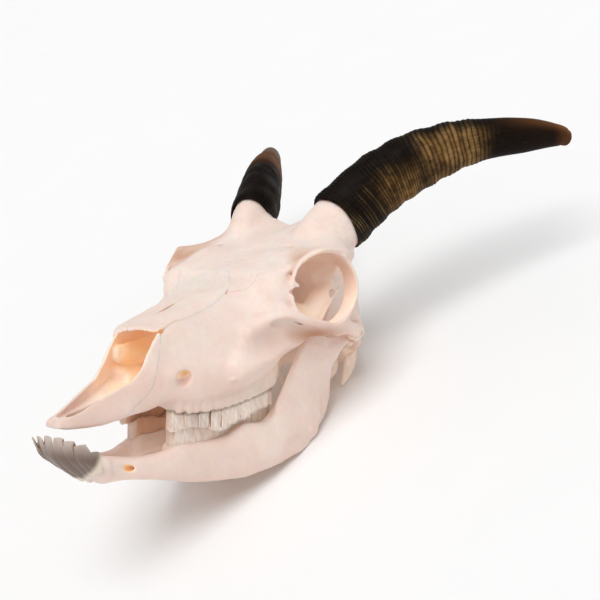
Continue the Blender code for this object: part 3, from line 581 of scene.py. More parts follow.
# Pale clouds 22 mm across, and over them a mottle of 2.4 mm
clouds = add_node(tree, "TexNoise", {"Vector": at, "Scale": 1 / 22.0, "Detail": 3.0,
                                     "Roughness": 0.55})
clouds = add_node(tree, "MapRange", {"Value": clouds, "From Min": 0.35, "From Max": 0.68},
                  interpolation_type="SMOOTHSTEP")
mottle = add_node(tree, "TexNoise", {"Vector": at, "Scale": 1 / 2.4, "Detail": 5.0,
                                     "Roughness": 0.55})
mottle = add_node(tree, "MapRange", {"Value": mottle, "From Min": 0.38, "From Max": 0.70,
                                     "To Max": 0.2}, interpolation_type="SMOOTHSTEP")
# Painted shade: pits and grooves are darkened
shade_in_pits = add_node(tree, "MapRange", {"Value": hollow, "From Min": 0.12, "From Max": 0.85,
                                      "To Max": 0.75}, interpolation_type="SMOOTHSTEP")
# Painted glow of light through thin bone: cream at first, orange in the depth
deep_in = add_node(tree, "MapRange", {"Value": painted_glow, "From Min": 0.40, "From Max": 1.0},
                   interpolation_type="SMOOTHSTEP")
glow = add_node(tree, "Mix", {0: deep_in, 6: linear("#FDE9D8"), 7: linear("#F2CB9A")}, 2,
                data_type="RGBA")
glowing = add_node(tree, "MapRange", {"Value": painted_glow, "From Min": 0.02, "From Max": 0.75},
                   interpolation_type="SMOOTHSTEP")
# Growth seams are fine lines that wander by half a millimetre; seam is the distance to the next
wander = add_node(tree, "TexNoise", {"Vector": at, "Scale": 1 / 1.6, "Detail": 3.0,
                                     "Roughness": 0.55})
wander = add_node(tree, "Math", {0: wander, 1: 1.3, 2: -0.65}, operation="MULTIPLY_ADD")
off_seam = add_node(tree, "Math", {0: seam, 1: wander}, operation="ADD")
off_seam = add_node(tree, "Math", {0: off_seam}, operation="ABSOLUTE")
on_seam = add_node(tree, "MapRange", {"Value": off_seam, "From Min": 0.08, "From Max": 0.36,
                                      "To Min": 1.0, "To Max": 0.0},
                   interpolation_type="SMOOTHSTEP")
seam_tint = add_node(tree, "Math", {0: on_seam, 1: 0.3}, operation="MULTIPLY")

colour = add_node(tree, "Mix", {0: clouds, 6: linear("#F9E6DC"), 7: linear("#F2DCD1")}, 2,
                  data_type="RGBA")
# Laid over the bone's tone: painted shade in pits, painted glow, painted shade with stains, and the
# dark seams
for share, laid_over in ((mottle, linear("#EBD2C4")), (shade_in_pits, linear("#D9B29C")),
                         (glowing, glow), (shade_and_stain, linear("#BE8C70")),
                         (seam_tint, linear("#D0A88E"))):
    colour = add_node(tree, "Mix", {0: share, 6: colour, 7: laid_over}, 2, data_type="RGBA")
tree.links.new(colour, shader.inputs["Base Color"])
shader.inputs["Roughness"].default_value = 0.52
shader.inputs["IOR"].default_value = 1.5
shader.inputs["Specular IOR Level"].default_value = 0.32
shader.inputs["Subsurface Weight"].default_value = 0.5
shader.inputs["Subsurface Radius"].default_value = (1.0, 0.42, 0.22)
shader.inputs["Subsurface Scale"].default_value = 0.0035
# Painted light: the painted glow is also given off as emission, so these parts shine though no lamp
# lights them
tree.links.new(glow, shader.inputs["Emission Color"])
tree.links.new(add_node(tree, "Math", {0: painted_glow, 1: 0.20}, operation="MULTIPLY"),
               shader.inputs["Emission Strength"])
# Dry bone is open-grained: pores 1.1 mm apart, drawn coarser than real so that they show
pores = add_node(tree, "TexVoronoi", {"Vector": at, "Scale": 0.9, "Randomness": 1.0})
pores = add_node(tree, "MapRange", {"Value": pores, "From Min": 0.05, "From Max": 0.22,
                                    "To Max": 0.12}, interpolation_type="SMOOTHSTEP")
relief = add_node(tree, "TexNoise", {"Vector": at, "Scale": 1 / 0.9, "Detail": 5.0,
                                     "Roughness": 0.6})
relief = add_node(tree, "Math", {0: relief, 1: 0.5, 2: pores}, operation="MULTIPLY_ADD")
relief = add_node(tree, "Math", {0: on_seam, 1: -0.5, 2: relief}, operation="MULTIPLY_ADD")
bump = add_node(tree, "Bump", {"Height": relief, "Distance": 0.00025, "Strength": 0.7})
tree.links.new(bump, shader.inputs["Normal"])


def piece(name, points, faces, facts, material, *nodes, slot="bone"):
    """A finished mesh lying on the table, with one number per point for each fact."""
    mesh = bpy.data.meshes.new(name)
    laid = lay_down(points)
    laid[:, 2] = np.maximum(laid[:, 2], 0.0)
    mesh.from_pydata(laid, [], faces if isinstance(faces, list) else faces.tolist())
    mesh.polygons.foreach_set("use_smooth", np.ones(len(mesh.polygons), bool))
    for word, values in facts.items():
        mesh.attributes.new(word, "FLOAT", "POINT").data.foreach_set(
            "value", np.broadcast_to(np.asarray(values, np.float32), len(points)).copy())
    mesh.materials.append(material)
    thing = bpy.data.objects.new(name, mesh)
    bpy.context.collection.objects.link(thing)
    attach(thing, "root")
    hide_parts(*nodes)


# Growth seams of the roof and the cheek (x, y), and of the incisive bones (y, z)
SEAM_MIDDLE = [(0, 119), (0.3, 123), (-0.1, 127)]
SEAM_CHEEK = [(17, 97.5), (21, 101), (24.8, 105.5), (28, 111)]
INCISIVE_SEAM = [(20.0, -14.0), (27.0, -9.0), (31.7, 3.8), (37.2, 8.6), (42.8, 13.3), (45.6, 17.1),
                 (47.4, 23.0), (50.5, 32.0), (52.0, 40.0), (53.0, 60.0)]
FAR = 9.0       # mm: no seam near


def underside_shade(normal):
    """1 where the laid down bone faces the table; the colour is darkened there as painted shade."""
    return step_up(0.35, -0.6, normal[:, 2] * TIP_COS - normal[:, 1] * TIP_SIN)


def skull_facts(points, normal):
    """Hollows, painted glow, painted shade with stains, and growth seams of the upper skull."""
    x, y, z = points.T
    side = np.abs(x)
    # Painted glow: the inside of the nose is lit orange in patches, more the deeper in
    in_nose = step_up(1.25, 0.55, nose.sample(points)) * step_up(-1, 6, z + 3)
    hollow = hollowness(skull, points, normal) * (1 - 0.6 * in_nose)
    patches = 0.5 + 0.5 * lumps(points, 9.0, 14)
    painted_glow = in_nose * (0.16 + 0.84 * step_up(14, 58, y) * (0.25 + 0.75 * patches))
    # The orbits: off is the place from their centre, the first number inward
    off = (points * np.where(x[:, None] < 0, (-1, 1, 1), 1) - ORBIT_CENTRE) @ ORBIT_TURN
    off[:, 0] *= -1
    reach = np.hypot(off[:, 1] / 21.5, off[:, 2] / 20.5)
    in_orbit = step_up(0.2, 2.4, off[:, 0]) * step_up(1.14, 1.0, reach) * step_up(40, 28, off[:, 0])
    # Painted glow on the floor of the orbit, and painted shade darkening its upper part and its
    # front
    painted_glow = np.maximum(painted_glow, 0.72 * in_orbit * step_up(74, 54, z) * step_up(14, -12, off[:, 1]))
    painted_glow = np.maximum(painted_glow, 0.48 * in_orbit)
    shade_and_stain = in_orbit * (0.05 + 0.56 * step_up(60, 84, z) + 0.35 * step_up(-6, -18, off[:, 1]))
    # Painted glow on the thin bone inside the arch, round the ear and inside the mouth; painted
    # shade under the arch, in the cheek hollow, low on the face and where the bone faces the table;
    # darker patches round the ear and over the teeth
    under = step_up(60, 40, z) * step_up(112, 130, y) * step_up(46, 34, side)
    painted_glow = np.maximum(painted_glow, 0.45 * under)
    ear = np.exp(-(((y - 186) / 14) ** 2 + ((z - 32) / 16) ** 2)) * step_up(18, 26, side)
    arch = np.exp(-(((y - 133) / 17) ** 2 + ((z - 42.5) / 5) ** 2)) * step_up(37, 43, side)
    face = 0.18 * step_up(34, 14, z) * step_up(115, 75, y) * (1 - in_nose)
    shade_and_stain = np.maximum(shade_and_stain, 0.30 * ear * (1 + lumps(points, 3.0, 15)) + 0.92 * arch)
    painted_glow = np.maximum(painted_glow, 0.35 * ear * (1 + lumps(points, 4.0, 19)))
    cheek_hollow_shade = np.exp(-((y - 112) / 17) ** 2 - ((z - 39) / 10) ** 2) * step_up(30, 36, side)
    shade_and_stain = np.maximum(shade_and_stain, 0.26 * cheek_hollow_shade) + 0.14 * underside_shade(normal) + face
    teeth = step_up(22, 4, z - 0.12 * (y - 60)) * step_up(50, 64, y) * step_up(135, 120, y)
    shade_and_stain = np.maximum(shade_and_stain, 0.10 * teeth * (1 + lumps(points, 4.0, 16)))
    inside_mouth = step_up(0.2, -0.5, normal[:, 0] * np.sign(x)) * step_up(24, 10, z) \
        * step_up(40, 56, y)
    painted_glow = np.maximum(painted_glow, 0.55 * inside_mouth)
    # The nearest growth seam
    seam = np.where(z > 60, beside(SEAM_MIDDLE, x, y), FAR)
    for other in (np.where(z > 55, beside(SEAM_CHEEK, side, y), FAR),
                  np.where(side > 2, np.abs(beside(INCISIVE_SEAM, y, z)) + 0.30, FAR)):
        seam = np.where(np.abs(other) < np.abs(seam), other, seam)
    seam = np.where(in_nose > 0.1, FAR, seam)
    return {"hollow": hollow, "painted_glow": painted_glow, "shade_and_stain": shade_and_stain, "seam": np.clip(seam, -FAR, FAR)}


# Room for the nasal bones in the roof, with the slits that show beside them: (y, half width)
NASAL_SIDE = [(54, 13.6), (62, 14.4), (72, 15.6), (82, 16.5), (92, 17.0), (97, 16.7), (103, 15.0),
              (110, 8.0), (113, 0.0)]
x_at, y_at, z_at = skull.grid_points()
half_lid = np.interp(y_at, *np.array(NASAL_SIDE).T)
open_seam = 1.2 * step_up(62.5, 52, y_at) + 1.5 * np.exp(-((y_at - 97.5) / 1.6) ** 2)
solid = (head.depth < 0) & (np.abs(x_at) <= half_lid + 0.4) & (np.abs(x_at) > half_lid - 0.4)
edge_height = np.where(solid, z_at, -9.0).max(axis=(0, 2), keepdims=True)
lid = np.maximum(-2.1 - head.depth, np.abs(x_at) - half_lid - open_seam)
lid = np.maximum(lid, edge_height - 2.2 - open_seam - z_at)
lid = np.maximum(lid, np.maximum(y_at - 112.0, 52.0 - y_at))
skull.press_field(lid.astype(np.float32), join=0.15)


def weathered(points, normal):
    """The small unevenness of bone, in mm, the same wherever two bones meet."""
    ear = np.exp(-(((points[:, 1] - 184) / 13) ** 2 + ((points[:, 2] - 38) / 16) ** 2))
    out = 0.13 * lumps(points, 3.2, 11) + 0.2 * lumps(points, 7.5, 12)
    scrolls = step_up(1.0, 0.5, nose.sample(points)) * step_up(30, 45, points[:, 1])
    out = points + normal * (out + 0.8 * ear * lumps(points, 2.6, 13)
                             + 0.7 * scrolls * lumps(points, 5.5, 18))[:, None]
    lower_brow = step_up(-24, -46, points[:, 0]) * step_up(68, 82, points[:, 2]) \
        * step_up(170, 148, points[:, 1])
    return out + lower_brow[:, None] * (1.4, 0.0, -1.8)


# The upper cheek teeth are laid up before the bone is finished, as the bone is fitted round them

def board(stations, power, side=48, step=60):
    """A squared body along the row: (y, x middle, half x, z middle, half z) at each station."""
    return slab(stations, side=side, step=step, power=power)


def tooth_row(teeth, neck_at, tip_at, x_middle, half_width, wax):
    """Crowns in a row, each one or more lobes with a rib down it and a raised fold at each end."""
    web = []
    for y in np.linspace(teeth[0][0] + 1.6, teeth[-1][1] - 1.6, 9):
        low, high = tip_at(y) + 2.2 * math.copysign(1, neck_at(y) - tip_at(y)), neck_at(y)
        web.append((y, x_middle(y) - 0.5, half_width(y) - 1.25, 0.5 * (low + high),
                    0.5 * abs(high - low) + 1.0))
    wax.add(board(web, 5.0), join=0.3)
    for start, end, lobes in teeth:
        middle = 0.5 * (start + end)
        neck, tip, x, half = neck_at(middle), tip_at(middle), x_middle(middle), half_width(middle)
        toward_root = math.copysign(1, neck - tip)
        slope = (tip_at(end) - tip_at(start)) / (end - start)
        swing = (x_middle(end) - x_middle(start)) / (end - start)
        low, high = tip + 0.4 * toward_root, neck + 5.5 * toward_root
        core = []
        for share, full in ((-0.01, 0.55), (0.07, 0.88), (0.5, 0.86), (0.93, 0.88), (1.01, 0.55)):
            y = start + share * (end - start)
            core.append((y, x + swing * (y - middle) - 0.15, half * full,
                         0.5 * (low + high) + slope * (y - middle), 0.5 * abs(high - low)))
        wax.add(board(core, 5.0), join=0.3)
        reach = 0.5 * (end - start) / lobes
        for lobe in range(lobes):
            y = start + reach * (2 * lobe + 1)
            neck, tip, x, half = neck_at(y), tip_at(y), x_middle(y), half_width(y)
            root = neck + 5.0 * toward_root
            path = [(x - 0.5, y, root), (x, y, 0.6 * neck + 0.4 * tip),
                    (x + 0.1, y, 0.2 * neck + 0.8 * tip), (x + 0.3, y + 0.3, tip)]
            wax.add(rod(path, [(reach * 0.84, half), (reach * 0.88, half),
                               (reach * 0.78, half * 0.9), (reach * 0.24, half * 0.45)],
                        (1, 0, 0), side=32), join=1.2)
            folds = [(-0.88, 0.55), (0.0, 0.3)] + ([(0.88, 0.55)] if lobe == lobes - 1 else [])
            for shift, size in folds:
                edge = [(px + half - 0.42 - 0.1 * abs(shift), py + shift * reach, pz)
                        for px, py, pz in path]
                drop = 1.3 * abs(shift)
                edge[-1] = (edge[-1][0] - 1.0, y + shift * reach * 0.9, tip + drop * toward_root)
                wax.add(rod(edge, [size, size, size * 0.9, size * 0.4], (1, 0, 0), side=16),
                        join=0.9)


def upper_neck(y):
    """The height at which the upper crowns leave the bone."""
    return 3.6 + 10.5 * max(0.0, (y - 56) / 70 - 0.25) ** 1.3


def upper_x(y):
    """The middle of the upper row."""
    return 15.9 + 8.8 * np.sin(np.clip((y - 59.5) / 50, 0, 1) * math.pi / 2)


def upper_half(y):
    """Half the width of the upper row."""
    return float(np.interp(y, (61, 69, 76, 87, 100, 118), (2.2, 3.3, 4.2, 4.8, 4.6, 4.0)))


UPPER_TEETH = [(59.0, 65.1, 1), (65.1, 72.6, 1), (72.6, 79.9, 1), (79.9, 93.3, 2),
               (93.3, 107.5, 2), (107.5, 125.5, 2)]
UPPER_TIPS = [(59, -7.6), (62.3, -7.4), (68.5, -5.4), (76, -5.6), (80, -6.2), (86.6, -8.3),
              (91, -6.4), (97, -4.2), (104.5, -3.0), (111.7, 0.2), (118.6, 1.2), (126, 3.4)]
upper = Wax((10, 50, -12), (34, 129, 20), 0.42)
tooth_row(UPPER_TEETH, upper_neck, lambda y: float(np.interp(y, *np.array(UPPER_TIPS).T)) - 0.5,
          upper_x, upper_half, upper)


def bite_height(x, y):
    """The worn surface where the two rows meet; it climbs towards the tongue."""
    return np.interp(y, *np.array(UPPER_TIPS).T) + 0.3 * (upper_x(y) + 3.0 - x)


u_at, v_at, w_at = upper.grid_points()
upper.depth = np.maximum(upper.depth, w_at - 15).astype(np.float32)
upper.press_field((w_at - bite_height(u_at, v_at)).astype(np.float32), join=0.3)

# The bone ends in a ragged lip round the crowns
GUM_LINE = [(56, 3.0), (74, 3.2), (90, 4.6), (106, 8.0), (126, 14.5)]
rows = np.abs(y_at.ravel() - 92) < 36
levels = np.abs(z_at.ravel() - 4) < 15
spots = np.stack(np.meshgrid(np.abs(x_at.ravel()), y_at.ravel()[rows], z_at.ravel()[levels],
                             indexing="ij"), 3)
lip_at = np.interp(spots[..., 1], *np.array(GUM_LINE).T) + 1.5 \
    + 0.9 * np.sin(1.05 * spots[..., 1]) + 0.6 * np.sin(2.3 * spots[..., 1] + 1.0)
room = upper.sample(spots.reshape(-1, 3)).reshape(spots.shape[:3]) - 0.4
lips = np.full(skull.size, Wax.REACH, np.float32)
lips[np.ix_(np.ones(skull.size[0], bool), rows, levels)] = np.maximum(room, spots[..., 2] - lip_at)
skull.press_field(lips, join=0.15)

seam_at = beside(INCISIVE_SEAM, y_at, z_at).astype(np.float32)
points, faces = skull.skin(np.maximum(skull.depth, seam_at - 0.5))
normal = normals_of(points, faces)
points = weathered(points, normal)
piece("upper_skull", points, faces, skull_facts(points, normal), bone, "cranium")


# ==== The incisive bones ========================================================================
# Two thin bones, one each side, that carry no teeth and make the front of the palate and the rim
# of the nose. A fine seam parts them from the upper jaw and from each other.

for word, way in (("left", 1), ("right", -1)):
    points, faces = skull.skin(np.maximum(np.maximum(skull.depth, -0.5 - seam_at),
                                          -0.3 - way * x_at))
    normal = normals_of(points, faces)
    points = weathered(points, normal)
    piece("incisive_" + word, points, faces, skull_facts(points, normal), bone,
          "premaxilla_" + word)


# ==== The nasal bones ===========================================================================
# Two long arched plates, 2 mm thick, that roof the nose and end in free points over its opening.
# They lie loose in the roof: open slits show between them and along their sides.

NASAL_LEFT = [(43.4, 0.0), (43.8, 3.0), (45.0, 6.0), (46.6, 9.0), (48.6, 11.4), (51.6, 13.4),
              (54.0, 14.6)]
NASAL_RIGHT = [(43.0, 0.0), (40.4, 3.2), (38.4, 5.0), (40.4, 6.6), (44.6, 9.6), (49.0, 12.0),
               (54.0, 14.6)]


def beyond_at(y):
    """How far a plate reaches to its side."""
    return np.interp(y, *np.array([(40, 12.6)] + NASAL_SIDE).T) + step_up(62, 68, y) \
        + 0.8 * np.exp(-((y - 56) / 5) ** 2)


for word, way, front_edge in (("left", 1, NASAL_LEFT), ("right", -1, NASAL_RIGHT)):
    plate = Wax((-1, 37, 34), (19, 116, 82), 0.45)
    u_at, v_at, w_at = plate.grid_points()
    spots = np.stack([axis.ravel() for axis in np.broadcast_arrays(u_at, v_at, w_at)], 1)
    in_head = head.sample(spots).reshape(plate.size)
    ahead_of = np.interp(u_at, *np.array(front_edge).T[::-1])
    beyond = beyond_at(v_at)
    slit = 0.02 + 0.7 * np.exp(-((v_at - 71) / 5.5) ** 4)
    half = 0.95 - 0.3 * step_up(58, 42, v_at)     # of the thickness, in mm
    edge = np.interp(v_at, y_at.ravel(), edge_height.ravel()) - 1.2
    depth = np.maximum(np.abs(in_head + half) - half, (ahead_of - v_at) * 0.6)
    depth = np.maximum(np.maximum(depth, edge - w_at), np.maximum(u_at - beyond, v_at - 113.5))
    plate.depth = np.maximum(depth, slit - u_at).astype(np.float32)
    points, faces = plate.skin()
    if way < 0:
        points[:, 0] *= -1
        faces = faces[:, ::-1]
    normal = normals_of(points, faces)
    loose = step_up(75, 50, points[:, 1])
    points = weathered(points, normal)
    points[:, 2] += 0.3 * loose + 1.4 * step_up(56, 41, points[:, 1])
    facts = skull_facts(points, normal)
    # Painted glow on the undersides of the plates over the nose
    below = step_up(0.2, -0.6, normal[:, 2])
    facts["painted_glow"] = below * step_up(40, 50, points[:, 1])
    facts["hollow"] = 0.0
    facts["seam"] = np.where(points[:, 1] < 100, beyond_at(points[:, 1]) - np.abs(points[:, 0]),
                             FAR)
    piece("nose_roof_" + word, points, faces, facts, bone, "nasal_" + word)


# ==== The cheek teeth ===========================================================================
# Six tall ridged crowns a side above and below, of enamel over dentine. Each stands in its
# socket, so it is joined to the bone it grows from, and the rows are worn to fit each other.

# Tooth enamel: denser and glossier than the bone, cream with streaks down the crown, yellow towards
# the root, orange on the side of the tongue, grey-brown in places, partly the enamel's own grey and
# partly painted shade low on the incisors, by the gums and along the bite, and brown in the folds as
# painted shade.
enamel, tree, shader, at, hollow, root, inner, grey_and_shade = new_finish(
    "tooth_enamel", ("hollow", "root", "inner", "grey_and_shade"))
down_crown = add_node(tree, "Mapping", {"Vector": at, "Scale": (1.0, 1.0, 0.2)})
streaks = add_node(tree, "TexNoise", {"Vector": down_crown, "Scale": 1 / 2.2, "Detail": 4.0,
                                      "Roughness": 0.55})
streaks = add_node(tree, "MapRange", {"Value": streaks, "From Min": 0.35, "From Max": 0.7},
                   interpolation_type="SMOOTHSTEP")
near_root = add_node(tree, "MapRange", {"Value": root, "From Min": 0.2, "From Max": 1.0},
                     interpolation_type="SMOOTHSTEP")
by_tongue = add_node(tree, "Math", {0: inner, 1: 0.8}, operation="MULTIPLY")
# Painted shade in the folds
shade_in_folds = add_node(tree, "MapRange", {"Value": hollow, "From Min": 0.30, "From Max": 0.80},
                    interpolation_type="SMOOTHSTEP")
colour = linear("#F8E9DD")
for share, laid_over in ((streaks, "#E6D1C3"), (near_root, "#EAD9C6"), (by_tongue, "#E6B28C"),
                         (grey_and_shade, "#6E5546"), (shade_in_folds, "#8E6A50")):
    colour = add_node(tree, "Mix", {0: share, 6: colour, 7: linear(laid_over)}, 2,
                      data_type="RGBA")
tree.links.new(colour, shader.inputs["Base Color"])
shader.inputs["Roughness"].default_value = 0.34
shader.inputs["IOR"].default_value = 1.62
shader.inputs["Subsurface Weight"].default_value = 0.15
shader.inputs["Subsurface Radius"].default_value = (1.0, 0.7, 0.5)
shader.inputs["Subsurface Scale"].default_value = 0.0012
relief = add_node(tree, "TexNoise", {"Vector": down_crown, "Scale": 1 / 0.7, "Detail": 4.0,
                                     "Roughness": 0.55})
bump = add_node(tree, "Bump", {"Height": relief, "Distance": 0.00015, "Strength": 0.6})
tree.links.new(bump, shader.inputs["Normal"])

points, faces = upper.skin()
normal = normals_of(points, faces)
neck_line = np.interp(points[:, 1], *np.array(GUM_LINE).T)
above_tip = points[:, 2] - np.interp(points[:, 1], *np.array(UPPER_TIPS).T)
# Grey-brown: a band on the third and fourth premolars, painted shade along the bite of the back
# teeth and painted shade where the bone's lip overhangs the crowns
grey_and_shade = (0.22 * np.exp(-((points[:, 1] - 72) / 7) ** 2)
        + 0.5 * step_up(2.6, 0.2, above_tip) * step_up(80, 88, points[:, 1])
        * (0.55 + 0.45 * lumps(points, 2.5, 41))
        + 0.5 * step_up(1.5, 0.4, skull.sample(points)) * step_up(-5.5, -4.5, points[:, 2]))
facts = {"hollow": hollowness(upper, points, normal), "grey_and_shade": grey_and_shade,
         "inner": step_up(0.2, -0.5, normal[:, 0]),
         "root": step_up(-3.0, 1.0, points[:, 2] - neck_line)}
for word, way in (("left", 1), ("right", -1)):
    piece("upper_teeth_" + word, points * (way, 1, 1), faces[:, ::way], facts, enamel, "cranium")


def lower_neck(y):
    """The height at which the lower crowns leave the bone."""
    return -13.6 + 17.5 * max(0.0, (y - 60) / 68 - 0.25) ** 1.2


def lower_x(y):
    """The middle of the lower row."""
    return 13.2 + 9.6 * (y - 62.5) / 65.5


def lower_half(y):
    """Half the width of the lower row."""
    return 2.4 + 1.3 * math.sin(math.pi * min(1.0, 0.2 + 0.8 * (y - 60) / 68))


LOWER_TEETH = [(63.0, 68.5, 1), (68.5, 74.9, 1), (74.9, 82.7, 1), (82.7, 94.5, 2),
               (94.5, 108.1, 2), (108.1, 128.0, 3)]
lower = Wax((8, 55, -22), (30, 132, 12), 0.45)
tooth_row(LOWER_TEETH, lower_neck,
          lambda y: -2.7 + 0.24 * max(0.0, y - 84.0) - 2.6 * (y - 60) / 68, lower_x,
          lower_half, lower)
u_at, v_at, w_at = lower.grid_points()
lower.press_field((bite_height(u_at, v_at) - 0.12 - w_at).astype(np.float32), join=0.3)
points, faces = lower.skin()
normal = normals_of(points, faces)
neck_line = np.interp(points[:, 1], (60, 77, 90, 106, 128), (-13.6, -13.4, -11, -6, 3))
facts = {"hollow": hollowness(lower, points, normal), "grey_and_shade": 0.0,
         "inner": step_up(0.2, -0.5, normal[:, 0]),
         "root": step_up(2.0, -1.0, points[:, 2] - neck_line)}
for word, way in (("left", 1), ("right", -1)):
    piece("lower_teeth_" + word, points * (way, 1, 1), faces[:, ::way], facts, enamel,
          "mandible_" + word)


# ==== The lower jaw =============================================================================
# Two long half-jaws of bone meet at the chin in a seam that never closes. Each has a slim
# toothless bar, a deep body under the cheek teeth and a broad thin blade that rises to the joint.

jaw = Wax((-3, -12, -42), (52, 175, 72), GRAIN)
# The bar and the body, the blade, the thin inner wall of the sockets, then the hook that the
# temple muscle pulls on and the knob of the joint
jaw.add(slab([(13, 4.4, 4.0, -21.6, 2.2), (16.5, 6.2, 5.8, -22.8, 4.4), (21, 7.2, 7.2, -23.4, 6.5),
              (26, 6.8, 6.2, -23.6, 6.4), (36, 8.4, 5.0, -24.0, 5.6), (48, 11.8, 4.6, -24.4, 6.0),
              (58, 15.0, 4.4, -23.8, 7.6), (66, 16.8, 4.6, -23.0, 9.4),
              (76, 18.8, 4.8, -23.6, 10.2), (92, 21.8, 5.4, -22.8, 11.4),
              (106, 25.0, 5.6, -19.4, 14.4), (120, 28.6, 5.6, -17.4, 13.2),
              (134, 31.4, 4.9, -8.8, 18.0), (147, 33.0, 4.2, -6.2, 15.2),
              (156, 33.8, 3.6, -3.4, 10.4)]),
        slab([(-21.0, 32.6, 2.4, 140, 6), (-15.0, 32.8, 3.4, 141.6, 13.4),
              (-6, 33.0, 3.6, 144.6, 20.6), (4, 33.6, 3.4, 146.0, 22.9),
              (14, 34.4, 3.1, 148.2, 20.6), (24, 35.6, 3.0, 150.0, 18.0),
              (34, 37.0, 3.0, 152.7, 15.7), (40, 37.6, 2.6, 156, 15.0)], along="Z"),
        slab([(62, 10.8, 1.0, -18.0, 4.0), (66, 10.3, 1.3, -16.8, 5.0), (74, 11.2, 1.4, -16.6, 5.0),
              (84, 12.5, 1.6, -15.8, 5.2), (100, 15.0, 1.8, -12.6, 6.0), (118, 18.2, 2.0, -6.6, 7.6),
              (127, 20.0, 2.0, -1.5, 7.6)]),
        rod([(38, 148, 36), (38.6, 151, 48), (39, 156, 58), (39.4, 162, 65)],
            [(2.4, 8.0), (2.0, 6.0), (1.6, 4.4), (1.2, 2.2)], (0, -1, 0)),
        rod([(38.0, 163, 32), (38.2, 167.0, 36), (38.4, 169.0, 38.4)],
            [(4.0, 6.4), (6.0, 4.0), (8.0, 3.2)]), join=4.0)
# A groove runs to the nerve hole of the chin; the chewing muscle leaves a shallow bed behind
jaw.press(rod([(14.4, 24, -20.6), (13.8, 29, -21.6), (12.8, 33, -22.8)], [0.8, 1.3, 1.0], step=16),
          join=1.2)
jaw.press(rod([(14.0, 31, -22.4), (12.4, 35, -23.2), (11.0, 39, -23.8), (8.5, 45, -24)],
              [(1.8, 1.4), (2.2, 1.6), (2.0, 1.5), (1.4, 1.0)], step=24), join=0.8)
jaw.press(rod([(41, 124, -23.6), (41.5, 130, -19.4), (42.5, 137, -17.4), (42, 152, -17.6),
               (41, 160, -20)], [3.8, 5.8, 7.2, 6.4, 5.0], step=40), join=1.6)
# Each half ends at the middle of the chin and bears flat on the table
x_at, y_at, z_at = jaw.grid_points()
jaw.press_field(np.where(y_at < 80, x_at - 0.15, Wax.REACH) + 0 * z_at, join=0.4)
jaw.press_field((TIP_COS * z_at - TIP_SIN * y_at + PLACE[2] + 0 * x_at).astype(np.float32))
points, faces = jaw.skin()
normal = normals_of(points, faces)
jaw_angle = np.exp(-(((points[:, 1] - 150) / 16) ** 2 + ((points[:, 2] + 12) / 14) ** 2))
points += normal * (0.15 * lumps(points, 3.2, 21) + 0.25 * lumps(points, 9, 22)
                    + 0.6 * jaw_angle * lumps(points, 3.4, 23))[:, None]
hollow = hollowness(jaw, points, normal)
# Painted glow on the inner side and in the nerve hole of the chin; painted shade on the inner side,
# high on the blade and where the bone faces the table, and a darker band along the middle of the
# body
inner_side = step_up(0.3, -0.5, normal[:, 0]) * step_up(30, 56, points[:, 1])
nerve_hole = step_up(0.1, 0.5, hollow) * np.exp(-((points[:, 1] - 37) / 6) ** 4) \
    * step_up(5, 8, points[:, 0])
facts = {"hollow": hollow, "painted_glow": np.maximum(0.40 * inner_side, nerve_hole),
         "shade_and_stain": 0.02 + 0.30 * step_up(26, 48, points[:, 2]) + 0.10 * underside_shade(normal)
         + 0.13 * np.exp(-((points[:, 1] - 82) / 28) ** 2) + 0.22 * inner_side, "seam": FAR}
for word, way in (("left", 1), ("right", -1)):
    piece("jaw_" + word, points * (way, 1, 1), faces[:, ::way], facts, bone, "mandible_" + word)


# ==== The incisors ==============================================================================
# Four narrow flat blades a side, of enamel that has gone grey. They stand loosely in the chin,
# lie over each other like roof slates and fan out from it; there are none above.

# Path of each blade from tip to root, and the way its flat side faces
BLADES = [([(3.4, -2.5, -6.4), (3.4, -1.4, -11.8), (3.3, 1.9, -17.0), (3.0, 7.4, -21.6),
            (2.7, 14.0, -25.2), (2.5, 19.6, -28.2)], (0.25, -0.97, -0.30)),
          ([(9.4, -1.5, -7.4), (9.2, 0.4, -12.2), (8.6, 4.0, -16.8), (7.4, 9.4, -20.8),
            (6.2, 15.0, -24.4), (5.8, 19.4, -26.8)], (0.42, -0.90, -0.30)),
          ([(15.0, 0.4, -8.8), (14.5, 2.8, -12.8), (12.9, 6.6, -17.0), (10.8, 11.4, -20.8),
            (9.0, 16.4, -23.8)], (0.60, -0.80, -0.30)),
          ([(18.0, 5.8, -12.2), (17.2, 7.0, -14.8), (15.6, 9.8, -17.8), (12.6, 14.0, -20.8),
            (10.4, 18.4, -23.2)], (0.82, -0.56, -0.26))]
BLADE_RADII = [(3.0, 0.42), (3.9, 0.8), (3.6, 1.3), (2.8, 1.8), (2.0, 2.0)]
front = Wax((-6, -14, -34), (30, 30, 2), 0.34)
for path, face in BLADES:
    front.add(rod(path, BLADE_RADII, face, side=36), join=0.12)
points, faces = front.skin()
normal = normals_of(points, faces)
off_bone = step_up(15.2, 11.2, points[:, 1] + 0.3 * points[:, 0] - 2.0)
# The blades are grey, darker downwards as painted shade, and the grooves between them are darkened
# twice as strongly as painted shade
facts = {"hollow": hollowness(front, points, normal) * 2.0, "inner": 0.0,
         "grey_and_shade": (0.38 + 0.62 * step_up(-6, -17, points[:, 2])) * off_bone,
         "root": step_up(2, 9, points[:, 1])}
for word, way in (("left", 1), ("right", -1)):
    fanned = points * (way, 1, 1)
    fanned[:, 1] -= 0.16 * np.maximum(0.0, -fanned[:, 0])   # the right fan stands further forward
    piece("incisors_" + word, fanned, faces[:, ::way], facts, enamel, "mandible_" + word)


# ==== The horn sheaths ==========================================================================
# Each horn is a hollow sheath of keratin slipped over a stump of bone. Growth has left it ridged
# near the mouth and ribbed half way, and it is worn smooth and dark towards the tip.

